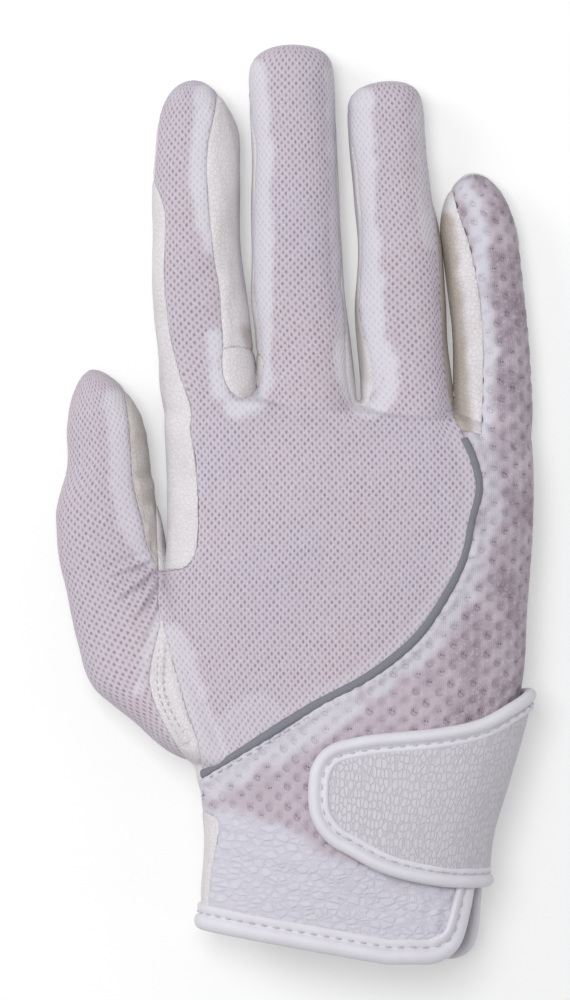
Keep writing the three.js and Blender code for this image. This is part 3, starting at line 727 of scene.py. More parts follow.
tubes = [hand_rings()] + [digit_rings(name) for name in DIGITS]
skin, quads = remeshed(*joined(tubes))
skin = relaxed(skin, edges_of(quads), RELAXINGS)
print("skin:", len(skin), "points", len(quads), "quads")


# %% Outward directions, and the skin's full size
def outward(points, faces):
    """The mean direction of the faces round each point."""
    a, b, c = (points[faces[:, i]] for i in range(3))
    normal = np.cross(b - a, c - a)
    total = np.zeros((len(points), 3))
    for i in range(faces.shape[1]):
        for k in range(3):
            total[:, k] += np.bincount(faces[:, i], normal[:, k], len(points))
    return total / np.maximum(np.linalg.norm(total, axis=1, keepdims=True), 1e-12)


triangles = np.concatenate([quads[:, [0, 1, 2]], quads[:, [0, 2, 3]]])
skin = skin + SLIM * outward(skin, triangles)
skin[:, 2] = np.maximum(skin[:, 2], 0)
normals = outward(skin, triangles)
print("skin, mm:", np.round(np.ptp(skin, axis=0), 1))

# %% [markdown]
# ## Where the cloth runs
# A knitted pattern keeps its size round a finger, so it can't be laid on from above. Each
# point of the skin gets a place on the cloth in millimetres: the way round the section, and
# the way along the digit or the hand. At the roots the one passes over into the other.

# %% Cloth coordinates
def rises(value, low, high):
    """A soft step from 0 at low to 1 at high."""
    t = np.clip((value - low) / (high - low), 0, 1)
    return t * t * (3 - 2 * t)


def hill(value, top, width):
    """1 at the top, falling off softly over a width on both sides."""
    return np.exp(-(((value - top) / width) ** 2))


def girth(half, tall, square, angle):
    """The way round an oval from its top, for angles from its right end."""
    turn = np.linspace(-math.pi, math.pi, 721)
    x = half * oval(np.cos(turn), square)
    z = tall * oval(np.sin(turn), square)
    run = np.concatenate([[0], np.cumsum(np.hypot(np.diff(x), np.diff(z)))])
    top = np.interp(math.pi / 2, turn, run)
    return top - np.interp(angle, turn, run)


def hand_girth(angle):
    """The way round the middle of the hand from its top."""
    return girth(PALM_BREADTH / 2, PALM_DEPTH / 2, HAND_SQUARE, angle)


FLAT_FROM = 0.86


def cloth_places(points, digits):
    """The place on the cloth of each point of the skin, in millimetres."""
    share, angle = where_on_hand(points)
    at = hand_ends(share)
    middle = (at["left"] + at["right"]) * PALM_BREADTH / 4
    reach = (at["right"] - at["left"]) * PALM_BREADTH / 4
    sideways = np.clip((points[:, 0] - middle) / reach, -1, 1)
    from_above = np.arccos(oval(sideways, 4 / HAND_SQUARE))
    beside = rises(np.abs(sideways), FLAT_FROM, 0.95)
    angle = from_above + beside * (angle - from_above)
    u = hand_girth(angle)
    edge_u = hand_girth(np.arccos(oval(-FLAT_FROM, 4 / HAND_SQUARE)))
    flat = edge_u + 1.12 * (points[:, 0] - middle + FLAT_FROM * reach)
    beside_thumb = (sideways < -FLAT_FROM) * (1 - rises(up_hand(points), 0.66, 0.74))
    u = u + beside_thumb * (flat - u)
    v = points[:, 1].copy()
    for name in digits:
        digit = DIGITS[name]
        along, across, turn = where_on_digit(name, points)
        if name == "thumb":
            taken = np.ones(len(points))
        else:
            taken = (1 - rises(np.abs(across), 1.15, 1.5)) * rises(along, -0.04, 0.16)
        root = np.clip(digit["root"][0] / (PALM_BREADTH / 2), -1, 1)
        start = hand_girth(np.arccos(oval(root, 4 / HAND_SQUARE)))
        around = start + girth(digit["breadth"] / 2, digit["depth"] / 2, DIGIT_SQUARE, turn)
        onward = digit["root"][1] + along * digit["length"]
        u = u + taken * (around - u)
        v = v + taken * (onward - v)
    return u, v


cloth_u, cloth_v = cloth_places(skin, ("index", "middle", "ring", "little"))
thumb_u, thumb_v = cloth_places(skin, ("thumb",))
print("cloth, mm:", round(np.ptp(cloth_u)), "by", round(np.ptp(cloth_v)))

# %% [markdown]
# ## The seams
# A glover cuts the skin into panels along seams. The seams below are the CAD source's, as
# points that a smooth line runs through. Each panel is then the part of the skin where a
# signed distance is positive: a plan outline, a height, or the smaller of the two.

# %% Seam lines
INDEX_BACK_SEAM = [
    (0.1, 0.33), (0.22, 0.39), (0.34, 0.42), (0.46, 0.38), (0.58, 0.32), (0.7, 0.26),
    (0.82, 0.27), (0.9, 0.46), (1.05, 0.8),
]
INDEX_WRAP_EDGE = [(-0.04, -0.47), (0.1, -0.6), (0.22, -0.72), (0.4, -0.75), (0.62, -0.75), (0.72, -1.05)]
LITTLE_BACK_SEAM = [
    (0.0, -0.3), (0.2, -0.28), (0.35, -0.22), (0.5, -0.21), (0.62, -0.26), (0.74, -0.34),
    (0.86, -0.5), (1.05, -0.8),
]
THUMB_BACK_SEAM = [
    (0.455, 0.8), (0.52, 0.7), (0.6, 0.66), (0.7, 0.61), (0.8, 0.62), (0.88, 0.69), (0.96, 0.8),
    (1.05, 0.9),
]
PIPING_LINE = [
    (0.64, 0.926), (0.69, 0.89), (0.72, 0.84), (0.68, 0.782), (0.635, 0.716), (0.538, 0.652),
    (0.374, 0.576), (0.132, 0.512), (-0.17, 0.459), (-0.516, 0.389), (-0.79, 0.334),
]
WRAP_FOOT = [
    (-0.857, 0.951), (-0.827, 0.884), (-0.813, 0.82), (-0.813, 0.765), (-0.83, 0.722),
    (-0.875, 0.7), (-0.95, 0.694), (-1.2, 0.692),
]
THUMB_HOLE = [
    (-1.03, 0.7), (-1.035, 0.64), (-1.02, 0.6), (-1.071, 0.533), (-1.082, 0.498), (-1.063, 0.466),
    (-1.014, 0.43), (-0.956, 0.396), (-0.9, 0.37), (-0.83, 0.34),
]
BACK_INNER_EDGE = [
    (-1.03, 0.7), (-1.035, 0.64), (-1.005, 0.6), (-0.956, 0.539), (-0.907, 0.485),
    (-0.868, 0.441), (-0.819, 0.399), (-0.79, 0.334),
]
CUFF_INNER_EDGE = [
    (-0.79, 0.334), (-0.783, 0.27), (-0.705, 0.256), (-0.716, 0.215), (-0.75, 0.16),
    (-0.765, 0.1), (-0.77, -0.1),
]
GUSSET_SEEN = [
    (223, 349), (222, 362), (224, 378), (230, 391), (241, 399), (252, 395), (259, 384), (263, 370),
    (262, 358), (252, 350), (238, 347), (223, 349),
]

# %% Signed distances
def in_outline(outline):
    """How far inside a closed outline in plan a point is; negative is outside."""
    outline = np.asarray(outline, float)

    def distance(points):
        nearest = np.full(len(points), 1e9)
        crossings = np.zeros(len(points), int)
        x, y = points[:, 0], points[:, 1]
        for a, b in zip(outline, np.roll(outline, -1, 0)):
            run = b - a
            t = np.clip(((x - a[0]) * run[0] + (y - a[1]) * run[1]) / max(run @ run, 1e-12), 0, 1)
            nearest = np.minimum(nearest, np.hypot(x - a[0] - t * run[0], y - a[1] - t * run[1]))
            if a[1] != b[1]:
                spans = (a[1] > y) != (b[1] > y)
                crossings += spans & (x < a[0] + (y - a[1]) * run[0] / run[1])
        return np.where(crossings % 2 == 1, nearest, -nearest)

    return distance


def above(level):
    return lambda points: points[:, 2] - level


def below(level):
    return lambda points: level - points[:, 2]


def both(*parts):
    """Inside all of the parts."""
    return lambda points: np.min([part(points) for part in parts], 0)


def either(*parts):
    """Inside at least one of the parts."""
    return lambda points: np.max([part(points) for part in parts], 0)


# %% Outlines of the panels in plan
FAR = 1.9
thumb_outline = on_hand(
    [(-1.15, 1.1), (-1.1, 0.98), (-1.04, 0.82), *THUMB_HOLE, (-0.83, 0.2), (-FAR, 0.2), (-FAR, 1.1)]
)
thumb_inner = np.concatenate([
    curve(on_digit("thumb", THUMB_BACK_SEAM), 1.5),
    on_digit("thumb", [(1.05, 2.2)]),
    on_hand([(-0.9, 0.9), (-0.9, 0.69)]),
])
wrap_outline = np.concatenate([
    curve(np.concatenate([on_digit("index", INDEX_WRAP_EDGE)[::-1], on_hand(WRAP_FOOT)]), 1.2),
    on_hand([(-1.2, 0.8)]),
    on_digit("index", [(0.3, -1.6), (0.72, -1.6)]),
])
little_edge = [(0.01, -0.82), (0.06, -1), (0.2, -1.2), (1.2, -1.2)]
little_gap = on_digit("little", little_edge)
index_inner = np.concatenate([
    curve(on_digit("index", INDEX_BACK_SEAM), 1.5),
    on_digit("index", [(1.05, 1.15), (0.575, 1.15), (0.1, 1.15)]),
])
little_inner = np.concatenate([little_gap, curve(on_digit("little", LITTLE_BACK_SEAM), 1.5)[::-1]])
piping_plan = curve(on_hand(PIPING_LINE), 1.0)
back_outline = np.concatenate([
    curve(on_hand(BACK_INNER_EDGE), 1.5),
    piping_plan[:-1][::-1],
    little_gap,
    on_hand([(0.6, 1.75), (-FAR, 1.75), (-FAR, 0.75)]),
])
side_outline = np.concatenate([
    curve(on_hand(CUFF_INNER_EDGE), 1.5),
    on_hand([(FAR, -0.1), (FAR, 1.6)]),
    little_gap[::-1],
    piping_plan[:-1],
])
under_thumb = on_hand([(-FAR, 0.1), (-0.8, 0.1), (-0.8, 1.15), (-FAR, 1.15)])


STRIP_FOOT = -0.05
LITTLE_STRIP_FOOT = 0.01


def between_digits(left, right):
    """The plan outline from the middle of one finger to the middle of the next."""
    foot = LITTLE_STRIP_FOOT if right == "little" else STRIP_FOOT
    rows = [(foot, 0), (0.45, 0), (0.93, 0)]
    return np.concatenate([on_digit(left, rows), on_digit(right, rows[::-1])])


NEAR_FINGER = 1.4
TIP_DROP = 5.2
LEFT_RISE = 1.5
RING_ROOT_RISE = 3.5


def above_finger_seam(points):
    """Above the seam of a finger's back, which drops round the fingertip."""
    level = np.full(len(points), float(FINGER_SEAM_HIGH))
    for name in ("index", "middle", "ring", "little"):
        along, across, _ = where_on_digit(name, points)
        near = np.abs(across) < NEAR_FINGER
        level = level - near * TIP_DROP * rises(along, 0.8, 0.99)
        left = (across < 0) & near
        if name in ("middle", "ring"):
            level = level + left * LEFT_RISE * rises(along, -0.1, 0.1) * (1 - rises(along, 0.7, 0.9))
        if name == "ring":
            root = rises(along, -0.1, 0.1) * (1 - rises(along, 0.1, 0.36))
            level = level + left * RING_ROOT_RISE * root
    return points[:, 2] - level


def finger_side(left, right):
    """The strip between two fingers, between the seam of the palm and the seam of the back."""
    strip = in_outline(between_digits(left, right))
    return both(strip, above(FINGER_SEAM_LOW), lambda points: -above_finger_seam(points))


def above_side_seam(points):
    """Above the seam of palm and outer side, which stands high at the wrist."""
    up = up_hand(points)
    levels = [WRIST_SEAM, WRIST_SEAM, 0.7 * WRIST_SEAM, SIDE_SEAM]
    level = np.interp(up, [-0.1, 0.34, 0.46, 0.6], levels)
    return points[:, 2] - level


# %% Panels in the order in which they take their part of the skin
in_thumb = in_outline(thumb_outline)
under_or_inner = either(both(in_outline(under_thumb), below(THUMB_SEAM)), in_outline(thumb_inner))
PANELS = {
    "thumb_palm": both(in_thumb, under_or_inner),
    "thumb_back": in_thumb,
    "gusset_index_middle": both(in_outline(curve(seen(GUSSET_SEEN), 0.8)[:-1]), above(GUSSET_LOW)),
    "index_wrap": both(in_outline(wrap_outline), above(FINGER_SEAM_LOW)),
    "fourchette_index_middle": either(
        finger_side("index", "middle"), both(in_outline(index_inner), above(FINGER_SEAM_LOW))
    ),
    "fourchette_middle_ring": finger_side("middle", "ring"),
    "fourchette_ring_little": either(
        finger_side("ring", "little"), both(in_outline(little_inner), above(FINGER_SEAM_LOW))
    ),
    "back_panel": both(in_outline(back_outline), above_finger_seam),
    "side_panel": both(in_outline(side_outline), above_side_seam),
}

# %% [markdown]
# ## Cutting the skin
# A mesh of triangles is cut where a distance changes sign: each triangle that the seam
# crosses is parted there, and both panels keep the same points on the seam. The distance
# to the nearest seam is kept as well, because cloth dives down beside every seam.

# %% Cut a body of triangles in two
EDGE = 8
CUT_MARGIN = 0.08


def divided(body, distance):
    """The part of a body where the distance is positive, and the other part."""
    data, faces = body
    value = distance(data[:, :3])
    inside = value > 0
    signs = inside[faces]
    count = signs.sum(1)
    mixed = (count == 1) | (count == 2)
    cut = faces[mixed]
    alone = np.where(count[mixed] == 1, signs[mixed].argmax(1), (~signs[mixed]).argmax(1))
    a, b, c = (cut[np.arange(len(cut)), (alone + k) % 3] for k in range(3))
    pairs = np.sort(np.concatenate([np.stack([a, b], 1), np.stack([a, c], 1)]), 1)
    unique, number = np.unique(pairs, axis=0, return_inverse=True)
    number = number.reshape(-1)
    first, second = unique.T
    t = np.abs(value[first]) / (np.abs(value[first]) + np.abs(value[second]) + 1e-12)
    t = np.clip(t, CUT_MARGIN, 1 - CUT_MARGIN)[:, None]
    added = data[first] * (1 - t) + data[second] * t
    added[:, EDGE] = 0
    ab = len(data) + number[: len(cut)]
    ac = len(data) + number[len(cut):]
    lone = np.stack([a, ab, ac], 1)
    pair = np.concatenate([np.stack([ab, b, c], 1), np.stack([ab, c, ac], 1)])
    lone_inside = inside[a]
    twice = np.concatenate([lone_inside, lone_inside])
    whole = np.concatenate([data, added])
    distances = np.concatenate([value, np.zeros(len(added))])
    taken = np.concatenate([faces[count == 3], lone[lone_inside], pair[~twice]])
    left = np.concatenate([faces[count == 0], lone[~lone_inside], pair[twice]])
    return tidied(whole, taken, distances), tidied(whole, left, -distances)


def tidied(data, faces, distances):
    """A body with only the points that its faces use."""
    used, renumbered = np.unique(faces, return_inverse=True)
    kept = data[used].copy()
    kept[:, EDGE] = np.minimum(kept[:, EDGE], np.maximum(distances[used], 0))
    return kept, renumbered.reshape(-1, 3)


whole_skin = np.column_stack([
    skin, normals, cloth_u, cloth_v, np.full(len(skin), 50.0), thumb_u, thumb_v
])


# %% [markdown]
# The mouth is opened along the hem, and the vent along the two lines where its tape runs.

# %% Open the mouth and the vent
VENT = table("up back palm", [(0.05, 40, -24), (0.1, 34, -20), (0.2, 24, -17), (0.3, 14, -14)])
DEGREE = 0.3


def above_hem(points):
    """How far up from the hem points are, in millimetres."""
    left, right, up_left, up_right = (HAND[k][0] for k in ("left", "right", "up_left", "up_right"))
    mix = np.clip((points[:, 0] / (PALM_BREADTH / 2) - left) / (right - left), 0, 1)
    up = up_left + (up_right - up_left) * mix
    return points[:, 1] - (up - ORIGIN_UP) * HAND_LENGTH


def in_vent(points):
    """How far inside the vent points are, in millimetres."""
    share, angle = where_on_hand(points)
    up = up_hand(points)
    turn = np.degrees(angle)
    back = smooth(up, VENT["up"], VENT["back"])
    palm = smooth(up, VENT["up"], VENT["palm"])
    below_top = (VENT["up"][-1] - up) * HAND_LENGTH
    return np.min([(turn - palm) * DEGREE, (back - turn) * DEGREE, below_top], 0)


CORNER = 4.5


def off_corner(points):
    """Positive outside the two corners that the tape rounds off between hem and vent."""
    a = CORNER - above_hem(points)
    b = CORNER + in_vent(points)
    return np.where((a > 0) & (b > 0), CORNER - np.hypot(a, b), 1.0)


rest, _ = divided((whole_skin, triangles), above_hem)
_, rest = divided(rest, in_vent)
rest, _ = divided(rest, off_corner)
panels = {}
for name, distance in PANELS.items():
    panels[name], rest = divided(rest, distance)
panels["palm_panel"] = rest

# %% [markdown]
# Where two seams nearly touch, a cut leaves crumbs of one panel lying in another. A glover
# has none, and in a mesh they are stray bodies, so each crumb joins the panel round it.

# %% Crumbs join the panel round them
CRUMB = 500


def together(faces, count):
    """A number for each point, the same for all the points that faces join up."""
    a = faces.ravel()
    b = faces[:, [1, 2, 0]].ravel()
    mark = np.arange(count)
    while True:
        low = np.minimum(mark[a], mark[b])
        after = mark.copy()
        np.minimum.at(after, a, low)
        np.minimum.at(after, b, low)
        after = after[after]
        if (after == mark).all():
            return mark
        mark = after


def with_crumbs(sheet, crumbs):
    """A sheet and its new crumbs as one sheet, with points that lie together made one."""
    data, faces = sheet
    for crumb, crumb_faces in crumbs:
        used, renumbered = np.unique(crumb_faces, return_inverse=True)
        faces = np.concatenate([faces, renumbered.reshape(-1, 3) + len(data)])
        data = np.concatenate([data, crumb[used]])
    places = np.round(data[:, :3], 4)
    _, first, number = np.unique(places, axis=0, return_index=True, return_inverse=True)
    faces = number.reshape(-1)[faces]
    faces = faces[(faces != faces[:, [1, 2, 0]]).all(1)]
    used, renumbered = np.unique(faces, return_inverse=True)
    return data[first][used], renumbered.reshape(-1, 3)


def crumbs_joined(panels):
    """The panels, with each small stray part given to the large part that it touches most."""
    names = list(panels)
    every = np.concatenate([panels[name][0][:, :3] for name in names])
    _, number = np.unique(np.round(every, 4), axis=0, return_inverse=True)
    ends = np.cumsum([len(panels[name][0]) for name in names])
    number = np.split(number.reshape(-1), ends[:-1])
    holds = np.zeros((len(every), len(names)), int)
    kinds = []
    for i, name in enumerate(names):
        data, faces = panels[name]
        group = together(faces, len(data))[faces[:, 0]]
        _, kind, size = np.unique(group, return_inverse=True, return_counts=True)
        kinds.append((kind, size))
        holds[number[i][faces[size[kind] >= CRUMB]], i] = 1
    kept = {}
    moved = {name: [] for name in names}
    for name, own_number, (kind, size) in zip(names, number, kinds):
        data, faces = panels[name]
        stays = size >= CRUMB
        for crumb in np.flatnonzero(~stays):
            own = faces[kind == crumb]
            touched = holds[own_number[np.unique(own)]].sum(0)
            if touched.max() > 1:
                moved[names[touched.argmax()]].append((data, own))
            else:
                stays[crumb] = True
        kept[name] = (data, faces[stays[kind]])
    print("crumbs moved:", sum(len(crumbs) for crumbs in moved.values()))
    return {name: with_crumbs(kept[name], moved[name]) for name in names}


for _ in range(2):
    panels = crumbs_joined(panels)
for name, (data, faces) in panels.items():
    if name.startswith("thumb"):
        data[:, 6:8] = data[:, 9:11]
    print(name, len(faces), "triangles")

# %% [markdown]
# ## Folds, dimples and puckers
# Each panel now gets the relief of its own cloth, by moving its points along the skin's
# outward direction. Beside a seam it dives down and swells a little further in. Leather is
# drawn up in folds at the thumb, and the spacer mesh is pressed in at every dimple.

# %% Helpers for relief
def ripples(points, length, seed, waves=14):
    """A wandering height from -1 to 1, the sum of seeded waves of about that length."""
    random = np.random.default_rng(seed)
    direction = random.normal(size=(waves, 3))
    direction /= np.linalg.norm(direction, axis=1, keepdims=True)
    stretch = 2 * math.pi / (length * random.uniform(0.7, 1.5, waves))
    phase = random.uniform(0, 2 * math.pi, waves)
    height = np.zeros(len(points))
    for d, k, f in zip(direction, stretch, phase):
        height += np.cos(k * (points @ d) + f)
    return height / math.sqrt(waves) / 1.4


def from_line(points, line, spacing=1.0):
    """The distance in plan to a line, and how far along it the nearest point is, from 0 to 1."""
    line = curve(line, spacing)
    nearest = np.full(len(points), 1e9)
    along = np.zeros(len(points))
    for i, (a, b) in enumerate(zip(line[:-1], line[1:])):
        run = b - a
        away = points[:, :2] - a
        t = np.clip(away @ run / (run @ run), 0, 1)
        off = np.hypot(*(away - t[:, None] * run).T)
        closer = off < nearest
        nearest = np.where(closer, off, nearest)
        along = np.where(closer, (i + t) / (len(line) - 1), along)
    return nearest, along


def beside_seam(edge, depth):
    """Cloth dives at a seam and stands up a little beside it."""
    return 0.2 * hill(edge, 1.6, 1.1) - depth * np.exp(-((edge / 0.55) ** 1.3))


# %% Where the cuff begins
CUFF_LINE = [(-0.8, 0.276), (-0.53, 0.263), (-0.26, 0.228), (-0.09, 0.196), (0.3, 0.15), (0.8, 0.12)]


def cuff_of(points):
    """1 in the cuff, below the line across the wrist."""
    up = up_hand(points)
    across = points[:, 0] / (PALM_BREADTH / 2)
    return 1 - rises(up - np.interp(across, *zip(*CUFF_LINE)), -0.014, 0.014)


# %% Relief of each panel
DIMPLE_COLUMN = 2.9
DIMPLE_ROW = 4.5
DIMPLE_DEPTH = 0.55
CUFF_FILLS = 0.4
PUCKERS = 40
SEAM_DEPTH = 0.22
MESH_SEAM_DEPTH = 0.1
THUMB_BULGE = 1.2
WRAP_RISE = 0.3


def dimples(u, v):
    """1 in the middle of each dimple of the spacer mesh and 0 between them."""
    wave = np.cos(math.pi * u / DIMPLE_COLUMN) * np.cos(2 * math.pi * v / DIMPLE_ROW)
    return rises(wave, -0.1, 0.95)


def pleats(points):
    """Folds that run from the web over the thumb."""
    height = 0
    for line, width, depth in PLEATS:
        off, along = from_line(points, seen(line))
        ends = np.clip(4 * along * (1 - along), 0, 1) ** 0.6
        ridge = hill(off, 0, width) - 0.7 * hill(off, 1.8 * width, 0.8 * width)
        height = height + depth * ends * ridge
    return height


WEDGE_SEEN = [(161, 640), (158.5, 662), (158.5, 685), (164, 704), (173, 722), (184, 738)]
PLEATS = [
    ([(164, 556), (148, 560), (128, 566), (108, 574)], 0.8, 0.65),
    ([(163, 563), (146, 574), (128, 588), (112, 600)], 0.9, 0.9),
    ([(163, 572), (152, 588), (141, 604), (130, 618)], 0.9, 0.85),
    ([(164, 586), (157, 604), (149, 622), (138, 642)], 0.8, 0.6),
]


def side_relief(height, points, u, v):
    """The spacer mesh: dimples, a pucker along the piping, and wrinkles in the cuff."""
    off, along = from_line(points, on_hand(PIPING_LINE))
    cuff = cuff_of(points)
    by_hem = rises(above_hem(points), 3, 8)
    drift = 0.5 * ripples(points, 8, 5)
    pressed = dimples(u + 0.3 * drift, v + 0.3 * drift)
    calm = 0.35 + 0.65 * rises(off, 1.5, 6)
    height = height - (DIMPLE_DEPTH - CUFF_FILLS * cuff) * pressed * calm * by_hem
    pucker = np.cos(2 * math.pi * along * PUCKERS) * hill(off, 1.9, 0.9)
    height = height + 0.3 * pucker + 0.45 * hill(off, 2.0, 0.9)
    slant = points @ np.array([[0.5, 0.35], [1.25, 1.9], [0.4, 0.4]])
    wrinkle = ripples(np.column_stack([slant, 0 * off]), 5.5, 77)
    height = height + 0.3 * cuff * wrinkle * by_hem
    near_vent = rises(points[:, 0], 12, 24) * cuff
    return height + 0.4 * near_vent * ripples(points * [1.7, 0.6, 1], 4.5, 19) * by_hem


def thumb_leather_relief(points, edge):
    """Loose leather that bulges beside the thumb, and the ends of the pleats."""
    across = ripples(points * [0.5, 1.3, 0.5], 6, 8)
    along, _, _ = where_on_digit("thumb", points)
    loose = 0.2 + rises(along, 0.35, 0.5) * (1 - rises(along, 0.64, 0.76))
    bulge = THUMB_BULGE * across * loose * rises(points[:, 2], 1, 4)
    return rises(edge, 0.1, 1.8) * (bulge + 0.5 * pleats(points))


def palm_relief(height, points, edge):
    """Soft leather, with a fold along the wedge at the thumb's base."""
    height = height + 0.18 * ripples(points, 9, 12) * rises(points[:, 2], 0.6, 3)
    off, _ = from_line(points, seen([(x + 3, y) for x, y in WEDGE_SEEN]))
    fold = hill(off, 0, 0.7) - 0.8 * hill(off, 1.3, 0.5)
    return height + 0.4 * fold * rises(points[:, 2], 5, 9) * rises(edge, 0.0, 0.8)


def relief(name, data):
    """How far each point of a panel stands off the smooth skin, in millimetres."""
    points = data[:, :3]
    edge = data[:, EDGE]
    high = data[:, 2]
    soft = ripples(points, 24, 3) * 0.28 * rises(high, 0.5, 5)
    height = soft + beside_seam(edge, MESH_SEAM_DEPTH if name == "back_panel" else SEAM_DEPTH)
    if name == "side_panel":
        height = side_relief(height, points, *data[:, 6:8].T)
    if name in ("back_panel", "thumb_back"):
        height = height + 0.1 * ripples(points, 9, 51) * rises(high, 2, 6)
    if name == "thumb_back":
        height = height + pleats(points) * rises(edge, 0.0, 1.2)
    if name == "thumb_palm":
        height = height + thumb_leather_relief(points, edge)
    if name == "index_wrap":
        lies_over = WRAP_RISE * rises(edge, -0.1, 0.6)
        height = soft + lies_over + 0.1 * ripples(points * [1, 0.6, 1], 5, 14)
    if name.startswith("fourchette"):
        height = height + 0.12 * ripples(points * [1, 0.35, 1], 3.5, 15)
    if name == "palm_panel":
        height = palm_relief(height, points, edge)
    return height


# %% [markdown]
# ## Finishes
# The tones are those of the picture. Each finish starts from the place on the cloth, works
# out its pattern there, and uses it twice: as colour and as a small relief.

# %% White leather
def leather_finish(name, colour, shade):
    """Smooth leather with fine creases, soft clouds, and painted shade in the depth between two fingers."""
    f = Finish(name)
    at = f.place()
    fine = f.noise(at, 1500, 4, 0.65)
    soft = f.noise(at, 90)
    pores = 1 - f.cracks(at, 900).rises(0.0, 0.12)
    colour = f.mixed(soft.rises(0.35, 0.7) * 0.5 + pores * 0.12, colour, shade)
    colour = f.mixed(fine.rises(0.5, 0.8) * 0.35, colour, tone(222, 220, 221))
    # Painted shade: darker where the piece lies in the depth between two fingers.
    colour = f.mixed(f.on_piece("shade"), colour, tone(168, 158, 150))
    height = fine * 0.5 - pores * 0.4
    return f.finished(colour, fine * 0.14 + 0.58, height, 0.00024, 0.8, {"Specular IOR Level": 0.35})


white_leather = leather_finish("white_leather", tone(211, 207, 210), tone(196, 192, 194))
# The thumb's leather is the white leather painted darker, as painted shade.
shaded_thumb_leather = leather_finish("shaded_thumb_leather", tone(192, 186, 184), tone(168, 160, 156))


# %% Flesh side of the leather, and the inside of the cloth
def lining_finish(name, low, high):
    f = Finish(name)
    nap = f.noise(f.place(), 1500, 4, 0.7)
    return f.finished(f.mixed(nap, low, high), 0.9, nap, 0.0002, 0.7)


flesh_side = lining_finish("flesh_side", tone(150, 116, 98), tone(180, 148, 130))
cloth_side = lining_finish("cloth_side", tone(168, 162, 168), tone(186, 180, 186))


# %% Fine mesh
NET_COLUMN = 0.87
NET_ROW = 1.88
HOLE_HALF_WIDTH = 0.3
HOLE_HALF_HEIGHT = 0.46
NET_WANDER_U = 0.5
NET_WANDER_V = 0.4
CLOTH_SHEEN = {"Sheen Weight": 0.15, "Specular IOR Level": 0.2}


def net_finish():
    """Rows of small upright holes, painted dark as the shade seen through them, each a little off its place
    and of its own depth.
    """
    f = Finish("fine_mesh")
    u, v, at = f.cloth()
    u = u + (f.noise(at, 0.35, 2) - 0.5) * NET_WANDER_U
    v = v + (f.noise(at, 0.31, 2) - 0.5) * NET_WANDER_V
    du, dv, luck = f.lattice(u, v, NET_COLUMN, NET_ROW)
    du = (du + (luck - 0.5) * 0.16) * NET_COLUMN / HOLE_HALF_WIDTH
    dv = dv * NET_ROW / HOLE_HALF_HEIGHT
    hole = 1 - (du * du + dv * dv).root().rises(0.25, 1.5)
    hole = hole * (luck * 0.4 + 0.6)
    allowance = f.on_piece("allowance")
    drift = f.noise(f.place(), 40, 2)
    yarn = f.noise(f.place(), 2400, 3, 0.7)
    cloth = f.mixed(drift.rises(0.35, 0.65), tone(179, 170, 183), tone(183, 170, 180))
    cloth = f.mixed(yarn.rises(0.52, 0.75), cloth, tone(208, 201, 210))
    cloth = f.mixed(allowance, cloth, tone(201, 198, 206))
    # Painted shade: the holes are dark as the shaded inside seen through them, and lighter where a white
    # seam allowance lies behind.
    open_part = f.mixed(allowance, tone(112, 98, 112), tone(166, 161, 172))
    colour = f.mixed(hole * (1 - allowance * 0.6), cloth, open_part)
    height = (1 - hole) * 0.8 + yarn * 0.35
    return f.finished(colour, 0.82, height, 0.00022, 0.6, CLOTH_SHEEN)


fine_mesh = net_finish()


# %% Spacer mesh
RIB = 0.55
PIN_ASIDE = 0.34
ARC_RADIUS = 0.9


